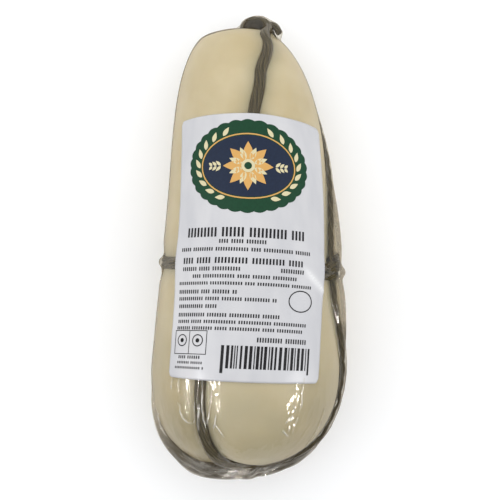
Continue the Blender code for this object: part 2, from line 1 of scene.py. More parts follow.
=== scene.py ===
"""Looks of a vacuum-packed provola: a pear-shaped cheese in a cord harness, clear film and a paper label.

Metres, +Z up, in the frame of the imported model: +Y runs from the cheese's round foot to its tied head, +X is
its right side, and the label looks up. A place on the cheese is given by its distance along the surface from
the foot (reach) and its angle round the long axis (angle), 0 at the front and a quarter turn at the right.
"""

from __future__ import annotations

import logging
import math
import random
from dataclasses import dataclass, field
from enum import Enum
from functools import cached_property, partial
from typing import Any, Callable, Sequence

import bmesh
import bpy
import numpy as np
from bpy.types import Material, Mesh, Node, NodeSocket, NodeTree, Object
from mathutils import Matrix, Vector, kdtree, noise

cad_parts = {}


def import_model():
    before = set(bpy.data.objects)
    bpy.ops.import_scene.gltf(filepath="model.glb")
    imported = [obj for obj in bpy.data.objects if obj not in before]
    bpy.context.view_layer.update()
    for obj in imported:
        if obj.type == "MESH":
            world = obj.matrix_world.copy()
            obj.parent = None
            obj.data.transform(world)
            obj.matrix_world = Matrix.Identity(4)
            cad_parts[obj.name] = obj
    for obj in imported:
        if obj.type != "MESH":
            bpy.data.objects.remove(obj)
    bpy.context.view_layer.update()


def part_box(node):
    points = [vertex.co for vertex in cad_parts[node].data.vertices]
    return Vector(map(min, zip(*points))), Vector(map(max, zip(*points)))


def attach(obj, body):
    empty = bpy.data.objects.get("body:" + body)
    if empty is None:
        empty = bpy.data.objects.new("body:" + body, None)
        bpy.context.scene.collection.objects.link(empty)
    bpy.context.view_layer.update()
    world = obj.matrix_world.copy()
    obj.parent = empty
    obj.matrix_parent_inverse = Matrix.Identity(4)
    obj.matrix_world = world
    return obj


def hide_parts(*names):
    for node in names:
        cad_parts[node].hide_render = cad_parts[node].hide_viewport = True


log = logging.getLogger("provola")

BODY = "root"
MM = 0.001
Array = np.ndarray
Pair = tuple[float, float]
Triple = tuple[float, float, float]
Turns = tuple[Triple, ...]
Outline = list[Pair]
Bars = list[tuple[float, float, float, float]]
Inputs = dict[str | int, Any] | tuple[Any, ...]
Near = list[tuple[Array, Array]]


# --- Small helpers ---


def smooth(value: Array | float) -> Array | float:
    """0 below 0, 1 above 1, with a smooth rise between."""
    t = np.clip(value, 0.0, 1.0)
    return t * t * (3.0 - 2.0 * t)


def unit(vectors: Array) -> Array:
    """Vectors of length 1 along the last axis."""
    return vectors / np.maximum(np.linalg.norm(vectors, axis=-1, keepdims=True), 1e-12)


def linear(colour: str, alpha: float = 1.0) -> tuple[float, float, float, float]:
    """The linear colour of an sRGB hex value.

    Args:
        colour: Six hex digits after a hash sign.
        alpha: The colour's opacity.

    Returns:
        Red, green, blue and alpha, as a shader's socket takes them.
    """
    parts = [int(colour[k:k + 2], 16) / 255.0 for k in (1, 3, 5)]
    red, green, blue = (c / 12.92 if c <= 0.04045 else ((c + 0.055) / 1.055) ** 2.4 for c in parts)
    return red, green, blue, alpha


def feed(node: Node, inputs: Inputs) -> Node:
    """Links or sets a node's inputs.

    Args:
        node: The node.
        inputs: For a socket's name or number, or for the first sockets in turn, its constant, its colour in
            hex, or the output socket that feeds it. A node feeds it by its first output in use.

    Returns:
        The same node.
    """
    for name, value in inputs.items() if isinstance(inputs, dict) else enumerate(inputs):
        if isinstance(value, Node):
            value = next(socket for socket in value.outputs if socket.enabled)
        elif isinstance(value, str) and value.startswith("#"):
            value = linear(value)
        if isinstance(value, NodeSocket):
            node.id_data.links.new(value, node.inputs[name])
        else:
            node.inputs[name].default_value = value
    return node


def add_node(tree: NodeTree, kind: str, inputs: Inputs = (), **settings: Any) -> Node:
    """Adds a node with its settings and links.

    Args:
        tree: The shader or geometry tree that gets the node.
        kind: The node's type, with or without its prefix, and after a space its operation or data type.
        inputs: What feeds its inputs, as feed takes it.
        settings: Values of the node's own properties.

    Returns:
        The new node.
    """
    kind, _, choice = kind.partition(" ")
    prefix = "GeometryNode" if hasattr(bpy.types, "GeometryNode" + kind) else "ShaderNode"
    made = tree.nodes.new(kind if "Node" in kind else prefix + kind)
    if choice:
        setattr(made, "operation" if hasattr(made, "operation") else "data_type", choice)
    for name, value in settings.items():
        setattr(made, name, value)
    return feed(made, inputs)


def placed(name: str, data: bpy.types.ID) -> Object:
    """Makes an object at the origin.

    Args:
        name: Its name.
        data: Its mesh, light or camera.

    Returns:
        The object, linked to the scene.
    """
    made = bpy.data.objects.new(name, data)
    bpy.context.scene.collection.objects.link(made)
    return made


def travelled(points: Array) -> Array:
    """The distance gone at each point of a line."""
    return np.concatenate([[0.0], np.cumsum(np.linalg.norm(np.diff(points, axis=0), axis=1))])


def grid_faces(rows: int, columns: int, start: int = 0, closed: bool = False) -> list[tuple[int, ...]]:
    """The faces of a grid of points.

    Args:
        rows: How many rows of points it has.
        columns: How many points a row has.
        start: The number of its first point.
        closed: Whether each row joins its own start.

    Returns:
        The points' numbers, four a face, row by row.
    """
    found = []
    for low in range(start, start + (rows - 1) * columns, columns):
        for k in range(columns if closed else columns - 1):
            after = (k + 1) % columns
            found.append((low + k, low + after, low + columns + after, low + columns + k))
    return found


def fractal(points: Array, size: float, octaves: int = 3, seed: float = 0.0) -> Array:
    """Smooth noise from -1 to 1 at each point.

    Args:
        points: The points, one a row.
        size: The width of the largest lumps, in metres.
        octaves: How many finer layers are added.
        seed: A shift of the pattern.

    Returns:
        One value a point.
    """
    shift = Vector((seed, 1.7 * seed, -seed))
    return np.array([noise.fractal(Vector(point) / size + shift, 0.6, 2.1, octaves) for point in points])


def mesh_object(name: str, points: Array, faces: Sequence[Sequence[int]], finish: Material) -> Object:
    """Makes a smooth mesh object at the origin.

    Args:
        name: The piece's name.
        points: Its vertices, in the frame.
        faces: Its faces, as vertex numbers.
        finish: Its material.

    Returns:
        The object, linked to the scene.
    """
    mesh = bpy.data.meshes.new(name)
    mesh.from_pydata(points.tolist(), [], faces)
    mesh.shade_smooth()
    mesh.materials.append(finish)
    return placed(name, mesh)


def store(mesh: Mesh, name: str, values: Array) -> None:
    """Stores one number or vector for each vertex of a mesh."""
    kind, key = ("FLOAT", "value") if values.ndim == 1 else ("FLOAT_VECTOR", "vector")
    mesh.attributes.new(name, kind, "POINT").data.foreach_set(key, values.astype(np.float32).reshape(-1))


def seat(piece: Object, slot: str, *nodes: str) -> Object:
    """Hands a finished piece to the frame.

    Args:
        piece: The piece, at the origin.
        slot: The record's material slot; not used.
        nodes: The solids that it stands for.

    Returns:
        The piece.
    """
    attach(piece, BODY)
    if nodes:
        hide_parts(*nodes)
    log.info("%s: %d faces", piece.name, len(piece.data.polygons))
    return piece


# --- Finishes ---


@dataclass(frozen=True)
class Finish:
    """A finish: its name, and how its material starts."""

    name: str

    def start(self) -> tuple[Material, Callable[..., Node], Node]:
        """Makes the material.

        Returns:
            The material, what adds a node to its tree, and its Principled shader.
        """
        material = bpy.data.materials.new(self.name)
        material.use_nodes = True
        tree = material.node_tree
        return material, partial(add_node, tree), tree.nodes["Principled BSDF"]


@dataclass(frozen=True)
class StretchedCurd(Finish):
    """Stretched-curd cheese, kneaded, moulded and brined: a moist, dense, faintly translucent cream skin.

    The eye gets a soft satin surface with broad pale and ochre clouds, a grey-green tone beside the cord that
    is its stain and painted shade in the valley there, and a greyer, darker tone towards the foot that is
    partly brine-soaked curd and partly painted shade.
    """

    name: str = "Stretched-curd cheese"
    pale: str = "#DFD3B4"
    ochre: str = "#CFC09A"
    # Painted shade: the grey-green tone beside the cord stands for its stain and the shade in the valley
    # there.
    shade: str = "#8F8D74"
    # Painted shade: a greyer, darker tone towards the foot, partly brine-soaked curd.
    whey_and_shade: str = "#B9B298"
    cloud: float = 0.026
    pore: float = 0.0011

    def make(self) -> Material:
        """Builds the finish.

        Returns:
            The material.
        """
        material, add, shader = self.start()
        place = add("TexCoord").outputs["Object"]
        clouds = add("TexNoise", {"Vector": place, "Scale": 1.0 / self.cloud, "Detail": 4.0})
        ramp = add("MapRange", {"Value": clouds, "From Min": 0.35, "From Max": 0.68})
        skin = add("Mix RGBA", {0: ramp, 6: self.pale, 7: self.ochre})
        # Beside the cord the skin turns grey-green: the cord's stain and painted shade in its valley.
        beside = add("Attribute", attribute_name="cord_shade")
        stained_and_shaded = add("Mix RGBA", {0: beside.outputs["Fac"], 6: skin, 7: self.shade})
        # Towards the foot the skin turns greyer and darker: brine-soaked curd and painted shade.
        wet_shade = add("Attribute", attribute_name="wetness")
        soaked = add("Mix RGBA", {0: wet_shade.outputs["Fac"], 6: stained_and_shaded, 7: self.whey_and_shade})
        pores = add("TexNoise", {"Vector": place, "Scale": 1.0 / self.pore, "Detail": 3.0})
        relief = add("Bump", {"Height": pores, "Strength": 0.12, "Distance": 0.0003})
        feed(shader, {
            "Base Color": soaked, "Normal": relief, "Roughness": 0.42, "Specular IOR Level": 0.2,
            "Subsurface Weight": 0.35, "Subsurface Radius": (1.0, 0.75, 0.45), "Subsurface Scale": 0.003})
        return material


@dataclass(frozen=True)
class TwistedFibre(Finish):
    """Plant-fibre cord, loosely laid and soaked with brine: dark olive grey, matte, with long fibre streaks.

    The eye gets rounded strands with painted shade in the grooves between them, and fine light and dark fibres
    along each.
    """

    name: str = "Natural fibre cord"
    fibre: str = "#493F24"
    # Painted shade: the dark colour laid in the grooves between the strands.
    groove_shade: str = "#241D0E"
    straw: str = "#766B47"
    yarns: int = 4
    yarn_pitch: float = 0.034
    relief: float = 0.00022

    def make(self) -> Material:
        """Builds the finish.

        Returns:
            The material.
        """
        material, add, shader = self.start()
        travel = add("Attribute", attribute_name="travel").outputs["Fac"]
        ring = add("Attribute", attribute_name="ring").outputs["Vector"]
        parts = add("SeparateXYZ", (ring,))
        around = add("Math ARCTAN2", (parts.outputs[1], parts.outputs[0]))
        turned = add("Math MULTIPLY_ADD", (travel, math.tau / self.yarn_pitch, around))
        phase = add("Math MULTIPLY", (turned, float(self.yarns)))
        ridge = add("Math SINE", (phase,))
        level = add("MapRange", {"Value": ridge, "From Min": -1.0, "From Max": 0.6})
        east = add("Math COSINE", (turned,))
        north = add("Math SINE", (turned,))
        place = add("CombineXYZ", (east, north, travel))
        stretch = add("VectorMath MULTIPLY", (place, (3.2, 3.2, 130.0)))
        fibres = add("TexNoise", {"Vector": stretch, "Scale": 1.6, "Detail": 5.0, "Roughness": 0.62})
        own = add("TexCoord").outputs["Object"]
        blotches = add("TexNoise", {"Vector": own, "Scale": 130.0, "Detail": 2.0})
        tint = add("MapRange", {"Value": fibres, "From Min": 0.46, "From Max": 0.68})
        lit = add("Mix RGBA", {0: tint, 6: self.fibre, 7: self.straw})
        # The groove colour is painted shade, laid where the strand ridges dip and stronger in random blotches.
        wear_and_painted_light = add("MapRange", {
            "Value": blotches, "From Min": 0.3, "From Max": 0.7, "To Min": 0.35, "To Max": 1.0})
        dark = add("Math MULTIPLY", (level, wear_and_painted_light))
        depth = add("MapRange", {"Value": dark, "From Max": 0.55, "To Min": 0.3})
        colour = add("Mix RGBA", {0: depth, 6: self.groove_shade, 7: lit})
        height = add("Math MULTIPLY_ADD", (fibres, 1.6, level))
        relief = add("Bump", {"Height": height, "Strength": 0.5, "Distance": self.relief})
        feed(shader, {"Base Color": colour, "Normal": relief, "Roughness": 0.7, "Specular IOR Level": 0.25})
        return material


@dataclass(frozen=True)
class BarrierFilm(Finish):
    """Polyamide and polyethylene film, cast and shrunk tight: clear, hard gloss, greyer where it is layered.

    The eye gets small hard highlights that break on fine creases, and a grey veil where it is seen edge on.
    """

    name: str = "Clear vacuum film"
    tint: str = "#FAF9F5"
    edge_tint: str = "#D2CCC0"
    layered_tint: str = "#8E8272"
    haze_tint: str = "#918D82"
    haze: float = 0.0
    refraction: float = 1.42
    strongest_gloss: float = 0.12
    crease: float = 0.0048
    crease_depth: float = 0.0007

    def make(self) -> Material:
        """Builds the finish: clear, mirrored by the Fresnel law, darker where folded or edge on.

        Returns:
            The material.
        """
        material, add, shader = self.start()
        place = add("Attribute", attribute_name="grain").outputs["Vector"]
        slack = add("Attribute", attribute_name="slack").outputs["Fac"]
        layered = add("Attribute", attribute_name="layered").outputs["Fac"]
        folds = add("TexNoise", {
            "Vector": place, "Scale": 1.0 / self.crease, "Detail": 1.5, "Distortion": 0.8})
        ridge = add("Math PINGPONG", (folds, 0.5))
        depth = add("Math MULTIPLY", (ridge, slack))
        relief = add("Bump", {"Height": depth, "Strength": 1.0, "Distance": self.crease_depth})
        facing = add("LayerWeight", {"Blend": 0.3})
        veil = add("Mix RGBA", {0: facing.outputs["Facing"], 6: self.tint, 7: self.edge_tint})
        lines = add("MapRange", {
            "Value": folds, "From Min": 0.36, "From Max": 0.6, "To Min": 1.0, "To Max": 0.45})
        dense = add("Math MULTIPLY", (layered, lines))
        colour = add("Mix RGBA", {0: dense, 6: veil, 7: self.layered_tint})
        clear = add("BsdfTransparent", {"Color": colour})
        body = clear
        if self.haze > 0.0:
            feed(shader, {"Base Color": self.haze_tint, "Roughness": 0.35})
            strokes = add("MapRange", {
                "Value": folds, "From Min": 0.4, "From Max": 0.66, "To Min": 0.3, "To Max": 1.0})
            milky = add("Math MULTIPLY", (layered, strokes))
            veiled = add("Math MULTIPLY", (milky, self.haze))
            body = add("MixShader", (veiled, clear, shader))
        else:
            shader.id_data.nodes.remove(shader)
        gloss = add("BsdfGlossy", {"Roughness": 0.045, "Color": "#FFFAF0", "Normal": relief})
        fresnel = add("Fresnel", {"IOR": self.refraction, "Normal": relief})
        share = add("Math MINIMUM", (fresnel, self.strongest_gloss))
        mixed = add("MixShader", (share, body, gloss))
        feed(material.node_tree.nodes["Material Output"], {"Surface": mixed})
        return material


@dataclass(frozen=True)
class CoatedPaper(Finish):
    """Coated paper, calendered and glued down: bluish white, half gloss, with painted shade and cool sheen in
    soft patches for faint waves from the film, and a painted highlight along the crease.
    """

    name: str = "Coated label paper"
    sheet: str = "#D0CFCF"
    # Painted shade and sheen: the bluish grey of the soft patches that stand for faint waves in the paper.
    wave_shade_and_sheen: str = "#C3C3C5"
    # Painted highlight: the near white that the crease is lightened to, partly the coating's own cracked
    # white.
    bare_and_highlight: str = "#F4F4F2"

    def make(self) -> Material:
        """Builds the finish.

        Returns:
            The material.
        """
        material, add, shader = self.start()
        place = add("TexCoord").outputs["Object"]
        upright = add("VectorMath MULTIPLY", (place, (1.0, 0.35, 1.0)))
        # Soft patches of painted shade and sheen, stretched along the label, for faint waves from the film.
        waves = add("TexNoise", {"Vector": upright, "Scale": 55.0, "Detail": 3.0, "Roughness": 0.6})
        ramp = add("MapRange", {"Value": waves, "From Min": 0.38, "From Max": 0.66})
        sheet = add("Mix RGBA", {0: ramp, 6: self.wave_shade_and_sheen, 7: self.sheet})
        # Along the crease the paper is lightened: partly worn coating, partly painted highlight.
        bent = add("Attribute", attribute_name="bent")
        wear_and_painted_light = add("Mix RGBA", {0: bent.outputs["Fac"], 6: sheet, 7: self.bare_and_highlight})
        grain = add("TexNoise", {"Vector": place, "Scale": 2500.0, "Detail": 2.0})
        relief = add("Bump", {"Height": grain, "Strength": 0.06, "Distance": 0.0001})
        feed(shader, {"Base Color": wear_and_painted_light, "Normal": relief, "Roughness": 0.4})
        return material


@dataclass(frozen=True)
class PrintInk(Finish):
    """Offset ink on coated paper: flat colour with a faint mottle where it lies thin."""

    colour: str
    thin: str

    def make(self) -> Material:
        """Builds the finish.

        Returns:
            The material.
        """
        material, add, shader = self.start()
        place = add("TexCoord").outputs["Object"]
        mottle = add("TexNoise", {"Vector": place, "Scale": 900.0, "Detail": 2.0})
        mixed = add("Mix RGBA", {0: mottle, 6: self.colour, 7: self.thin})
        feed(shader, {"Base Color": mixed, "Roughness": 0.55, "Specular IOR Level": 0.2})
        return material


class Ink(Enum):
    """The inks of the label, each with the colour where it lies thick and where it lies thin."""

    BLACK = ("Black ink", "#08080A", "#141417")
    GREEN = ("Dark green ink", "#08371F", "#0F4429")
    NAVY = ("Navy ink", "#141F33", "#1C2A42")
    TAN = ("Tan ink", "#D9A962", "#D29F57")
    CREAM = ("Cream ink", "#DCD2AC", "#D3C89C")

    def finish(self) -> Material:
        """The ink's material."""
        name, colour, thin = self.value
        return PrintInk(name, colour, thin).make()


# --- The cheese's plain form and the lines on it ---


@dataclass(frozen=True)
class AngleLine:
    """A line from foot to head: the angle where it starts, and how it turns along the length, in degrees."""

    start: float
    turns: Turns = ()

    def angle(self, share: Array) -> Array:
        """The line's angle, in radians, at shares of the length."""
        turned = sum(turn * smooth((share - low) / (high - low)) for turn, low, high in self.turns)
        return np.radians(self.start + turned + 0.0 * share)


@dataclass(frozen=True)
class CheeseForm:
    """The cheese's plain form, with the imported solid's sizes: a pear, flatter than wide, bent a little."""

    length: float = 0.1878
    half_width: float = 0.0403
    depth_ratio: float = 0.91
    foot_share: float = 0.24
    head_share: float = 0.35
    foot_roundness: float = 2.5
    head_roundness: float = 3.1
    taper: float = 0.44
    taper_start: float = 0.22
    taper_power: float = 1.25
    bend: float = 0.002
    bend_peak: float = 0.56
    bend_foot_span: float = 0.42
    bend_head_span: float = 0.27
    head_tie_shift: Pair = (0.0108, -0.003)
    foot_tie_shift: Pair = (0.003, -0.001)
    tie_shift_reach: float = 0.019
    rest_depth: float = 0.0011
    pressed_height: float = 0.007
    steps: int = 400

    @cached_property
    def meridian(self) -> tuple[Array, Array, Array]:
        """Traces the section from the foot to the head.

        Returns:
            Reach, share of the length and share of the half width.
        """
        turn = np.linspace(0.0, math.pi / 2, self.steps)
        foot_power, head_power = 2.0 / self.foot_roundness, 2.0 / self.head_roundness
        foot = self.foot_share * (1.0 - np.sin(turn[::-1]) ** foot_power)
        body = np.linspace(self.foot_share, 1.0 - self.head_share, self.steps)
        head = 1.0 - self.head_share + self.head_share * np.sin(turn) ** head_power
        along = np.concatenate([foot, body[1:-1], head])
        flat = np.ones(self.steps - 2)
        cap = np.concatenate([np.cos(turn[::-1]) ** foot_power, flat, np.cos(turn) ** head_power])
        cap[0] = cap[-1] = 0.0
        across = cap * (1.0 - self.taper * np.maximum(0.0, along - self.taper_start) ** self.taper_power)
        steps = np.hypot(self.length * np.diff(along), self.half_width * np.diff(across))
        return np.concatenate([[0.0], np.cumsum(steps)]), along, across

    @property
    def full_reach(self) -> float:
        """The distance along the surface from the foot to the head."""
        return float(self.meridian[0][-1])

    def share(self, reach: Array) -> Array:
        """The share of the length at a reach."""
        return np.interp(reach, self.meridian[0], self.meridian[1])

    def reach(self, share: Array) -> Array:
        """The reach at a share of the length."""
        return np.interp(share, self.meridian[1], self.meridian[0])

    def width(self, reach: Array) -> Array:
        """Half the width at a reach."""
        return self.half_width * np.interp(reach, self.meridian[0], self.meridian[2])

    def surface(self, reach: Array, angle: Array) -> Array:
        """Finds points of the plain surface.

        Args:
            reach: Their distances along the surface from the foot.
            angle: Their angles round the long axis.

        Returns:
            The points, in the form's own place.
        """
        share = self.share(reach)
        width = self.width(reach)
        span = np.where(share < self.bend_peak, self.bend_foot_span, self.bend_head_span)
        centre_x = self.bend * (1.0 - ((share - self.bend_peak) / span) ** 2)
        narrowing = self.taper * np.maximum(0.0, share - self.taper_start) ** self.taper_power
        centre_z = self.half_width * self.depth_ratio * (1.0 - narrowing) - self.rest_depth
        near_head = smooth(1.0 - (self.full_reach - reach) / self.tie_shift_reach)
        near_foot = smooth(1.0 - reach / self.tie_shift_reach)
        centre_x = centre_x + self.head_tie_shift[0] * near_head + self.foot_tie_shift[0] * near_foot
        centre_z = centre_z + self.head_tie_shift[1] * near_head + self.foot_tie_shift[1] * near_foot
        x = centre_x + width * np.sin(angle)
        z = centre_z + width * self.depth_ratio * np.cos(angle)
        return np.stack([x, share * self.length + 0.0 * x, np.maximum(z, 0.0)], axis=-1)

    def outward(self, reach: Array, angle: Array) -> Array:
        """Finds the surface's outward directions, which point along the axis at the two ends.

        Args:
            reach: The places' reaches.
            angle: Their angles.

        Returns:
            One direction a place.
        """
        reach, angle = np.broadcast_arrays(reach, angle)
        margin, step, turn = 0.0004, 0.0003, 0.01
        inside = np.clip(reach, margin, self.full_reach - margin)
        up = self.surface(inside + step, angle) - self.surface(inside - step, angle)
        sideways = self.surface(inside, angle + turn) - self.surface(inside, angle - turn)
        found = unit(np.cross(sideways, up))
        ends = np.where(reach < margin, -1.0, np.where(reach > self.full_reach - margin, 1.0, 0.0))
        pole = np.stack([0.0 * ends, ends, 0.0 * ends], axis=-1)
        return np.where(np.abs(ends)[..., None] > 0.0, pole, found)

    def pressed(self, points: Array) -> Array:
        """1 where the pack's weight flattens the underside, 0 higher up."""
        return 1.0 - smooth(points[..., 2] / self.pressed_height)


SEAM_TURNS: Turns = ((-26.0, 0.0, 0.04), (26.0, 0.96, 1.0))
RIGHT_TURNS: Turns = ((-26.5, 0.14, 0.42), (42.0, 0.46, 0.9))
LEFT_SEAM = AngleLine(-62.0, SEAM_TURNS)
FRONT_TURNS: Turns = ((38.0, 0.12, 0.92), (10.0, 0.78, 0.92), (30.0, 0.885, 1.0))
FRONT_CORD = AngleLine(-30.0, FRONT_TURNS)
RIGHT_CORD = AngleLine(92.0, RIGHT_TURNS)
RIGHT_SEAM = AngleLine(135.0, RIGHT_TURNS + SEAM_TURNS)
BACK_CORD = AngleLine(172.0, ((14.0, 0.1, 0.9),))
LEFT_CORD = AngleLine(256.0)
LEFT_SEAM_AGAIN = AngleLine(298.0, SEAM_TURNS)
LINES = (LEFT_SEAM, FRONT_CORD, RIGHT_CORD, RIGHT_SEAM, BACK_CORD, LEFT_CORD, LEFT_SEAM_AGAIN)
CORDS = (FRONT_CORD, RIGHT_CORD, BACK_CORD, LEFT_CORD)


# --- The harness ---


@dataclass
class Run:
    """A stretch of cord on the plain surface, with the outward directions there.

    Its lifts are the height of a full cord's middle over the surface. It is thinner than a full cord by slim,
    with its outer side where it was, and the film stands off it by loose at its proudest.
    """

    points: Array
    normals: Array
    lifts: Array
    closed: bool = True
    slim: float = 0.0
    loose: float = 0.0

    def __post_init__(self) -> None:
        """Prepares the search for its nearest point."""
        self.tree = kdtree.KDTree(len(self.points))
        for k, point in enumerate(self.points):
            self.tree.insert(point, k)
        self.tree.balance()

    @property
    def centres(self) -> Array:
        """The cord's centre line."""
        return self.points + self.normals * (self.lifts + self.slim)[:, None]

    def nearest(self, points: Array) -> tuple[Array, Array]:
        """Finds the nearest place of the run.

        Args:
            points: Points of the plain surface.

        Returns:
            Their distances from the run, and the cord's height at the nearest place.
        """
        count = len(self.points)
        index = np.array([self.tree.find(point)[1] for point in points])
        best = np.full(len(points), np.inf)
        lift = np.zeros(len(points))
        for start in (index - 1, index):
            first = start % count if self.closed else np.clip(start, 0, count - 2)
            second = (first + 1) % count
            span = self.points[second] - self.points[first]
            along = ((points - self.points[first]) * span).sum(1) / np.maximum((span * span).sum(1), 1e-12)
            along = np.clip(along, 0.0, 1.0)
            apart = np.linalg.norm(self.points[first] + span * along[:, None] - points, axis=1)
            closer = apart < best
            level = self.lifts[first] + (self.lifts[second] - self.lifts[first]) * along
            best = np.where(closer, apart, best)
            lift = np.where(closer, level, lift)
        return best, lift


@dataclass(frozen=True)
class Knot:
    """A lump of wound cord: half sizes along, across and out of the surface, round a centre on a cord."""

    foot: Array
    normal: Array
    along: Array
    sizes: Triple
    height: float

    @property
    def across(self) -> Array:
        """The direction along the surface at right angles to the cord."""
        return unit(np.cross(self.normal, self.along))

    @property
    def centre(self) -> Array:
        """The middle of the lump."""
        return self.foot + self.normal * self.height

    def half(self, direction: Array) -> float:
        """Half the lump's size in a direction."""
        ways = (self.along, self.across, self.normal)
        return math.hypot(*(size * float(direction @ way) for size, way in zip(self.sizes, ways)))

    def dome(self, points: Array, gap: float) -> Array:
        """Finds how thick the lump is.

        Args:
            points: Points of the plain surface.
            gap: What is left free all round it.

        Returns:
            Half its thickness over each point, or 0 beside it.
        """
        offset = points - self.foot
        along = offset @ self.along / (self.sizes[0] + gap)
        across = offset @ self.across / (self.sizes[1] + gap)
        rise = np.sqrt(np.maximum(0.0, 1.0 - along**2 - across**2))
        return np.where(offset @ self.normal > -2.0 * max(self.sizes), (self.sizes[2] + gap) * rise, 0.0)


@dataclass
class Harness:
    """The cord's routes and knots on the cheese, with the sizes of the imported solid."""

    form: CheeseForm
    cord_radius: float = 0.0022
    lift: float = -0.0011
    pressed_lift: float = -0.00225
    right_proud: float = 0.0005
    right_loose: float = 0.0004
    proud_shares: tuple[float, float, float, float] = (0.01, 0.06, 0.5, 0.8)
    right_slim: float = 0.0009
    pole_rise: float = 0.0006
    pole_reach: float = 0.005
    head_rise: float = 0.0044
    girdle_share: float = 0.45
    girdle_tilt: float = 0.0022
    girdle_rise: float = 0.001
    girdle_rise_reach: float = 0.008
    valley_depth: float = 0.0013
    foot_valley_depth: float = 0.003
    foot_valley_share: float = 0.3
    valley_width: float = 0.0068
    side_knot: Triple = (0.007, 0.0046, 0.0028)
    side_knot_rise: float = 0.0008
    right_knot_shift: float = 0.0022
    right_knot_aside: float = 0.0018
    left_knot_shift: float = -0.0018
    left_knot_aside: float = -0.004
    head_knot: Triple = (0.0045, 0.007, 0.0041)
    head_knot_rise: float = 0.0023
    head_knot_shift: float = -0.0027
    tail_start: float = 0.004
    tail_end: float = 0.015
    tail_rise: float = 0.0024
    tail_slim: float = 0.0008
    tail_aside: float = 0.32
    spacing: float = 0.0008
    runs: list[Run] = field(default_factory=list)
    knots: list[Knot] = field(default_factory=list)

    def __post_init__(self) -> None:
        """Lays the two loops, the girdle, the cut end and the knots."""
        front_back = self.loop(FRONT_CORD, BACK_CORD, 0.0, self.head_rise, 0.0)
        right_left = self.loop(RIGHT_CORD, LEFT_CORD, self.pole_rise, 0.0, self.right_proud)
        right_left.slim, right_left.loose = self.right_slim, self.right_loose
        self.runs = [front_back, right_left, self.girdle(), self.tail()]
        end = self.form.surface(self.form.full_reach, 0.0) + np.array([self.head_knot_shift, 0.0, 0.0])
        head = Knot(end, np.array([0.0, 1.0, 0.0]), np.array([0.0, 0.0, 1.0]), self.head_knot,
                    self.lift + self.head_knot_rise)
        self.knots = [self.knot_on(RIGHT_CORD, self.right_knot_shift, self.right_knot_aside),
                      self.knot_on(LEFT_CORD, self.left_knot_shift, self.left_knot_aside), head]

    def cord_lift(self, points: Array) -> Array:
        """The cord's height over the plain surface, lower where the pack rests on it."""
        return self.lift + (self.pressed_lift - self.lift) * self.form.pressed(points)

    def girdle_reach(self, angle: Array) -> Array:
        """The girdle's reach at an angle: it slants a little."""
        return self.form.reach(self.girdle_share) - self.girdle_tilt * np.sin(angle)

    def proud_share(self, share: Array) -> Array:
        """How far the right loop stands out of its bed at shares of the length: 1 where it is proudest."""
        start, full, fall, end = self.proud_shares
        return smooth((share - start) / (full - start)) * smooth((end - share) / (end - fall))

    def loop(self, first: AngleLine, second: AngleLine, rise: float, head_rise: float, proud: float) -> Run:
        """A closed loop up one line and down another.

        Args:
            first: The line that it goes up by.
            second: The line that it comes down by.
            rise: How much higher it crosses the other loop at the two ends.
            head_rise: How much higher still it crosses at the head.
            proud: How far the first line's run stands out of its bed, between the shares for it.

        Returns:
            The run.
        """
        count = int(self.form.full_reach / self.spacing)
        reach = np.linspace(0.0, self.form.full_reach, count)
        reach = np.concatenate([reach, reach[-2:0:-1]])
        climbing = np.arange(len(reach)) < count
        share = self.form.share(reach)
        angle = np.where(climbing, first.angle(share), second.angle(share))
        points = self.form.surface(reach, angle)
        ends = self.form.surface(np.array([0.0, self.form.full_reach]), np.zeros(2))
        apart = np.linalg.norm(points[:, None] - ends[None], axis=2).min(axis=1)
        slack = proud * climbing * self.proud_share(share)
        lifts = self.cord_lift(points) + slack + rise * np.exp(-((apart / self.pole_reach) ** 2))
        lifts += head_rise * np.exp(-(((self.form.full_reach - reach) / self.pole_reach) ** 2))
        return Run(points, self.form.outward(reach, angle), lifts)

    def girdle(self) -> Run:
        """Lays the belt of cord round the waist, raised where it crosses the loops.

        Returns:
            The run.
        """
        angle = np.linspace(0.0, math.tau, 300, endpoint=False)
        reach = self.girdle_reach(angle)
        points = self.form.surface(reach, angle)
        share = self.form.share(reach)
        crossing = [self.form.surface(reach, line.angle(share)) for line in CORDS]
        apart = np.min([np.linalg.norm(points - other, axis=1) for other in crossing], axis=0)
        free = 1.0 - self.form.pressed(points)
        beside = np.exp(-((apart / self.girdle_rise_reach) ** 2))
        lifts = self.cord_lift(points) + self.girdle_rise * free * beside
        return Run(points, self.form.outward(reach, angle), lifts)

    def tail(self) -> Run:
        """Lays the cord's cut end on the right loop, beside the head knot.

        Returns:
            The run.
        """
        reach = self.form.full_reach - np.linspace(self.tail_start, self.tail_end, 18)
        angle = RIGHT_CORD.angle(self.form.share(reach)) - self.tail_aside
        points = self.form.surface(reach, angle)
        lifts = np.full(len(reach), self.lift + self.tail_rise)
        return Run(points, self.form.outward(reach, angle), lifts, False, self.tail_slim)

    def knot_on(self, line: AngleLine, shift: float, aside: float) -> Knot:
        """Ties a knot where the girdle crosses a line.

        Args:
            line: The line.
            shift: How far the knot's middle lies towards the head.
            aside: How far it lies towards the back.

        Returns:
            The knot.
        """
        angle = float(line.angle(self.girdle_share))
        reach = float(self.girdle_reach(angle)) + shift
        angle += aside / float(self.form.width(reach))
        step = 0.002
        along = unit(self.form.surface(reach + step, angle) - self.form.surface(reach - step, angle))
        proud = self.right_proud / 2.0 if line is RIGHT_CORD else 0.0
        normal = self.form.outward(reach, angle)
        across = unit(np.cross(normal, along))
        return Knot(self.form.surface(reach, angle), normal, unit(np.cross(across, normal)), self.side_knot,
                    self.lift + proud + self.side_knot_rise)


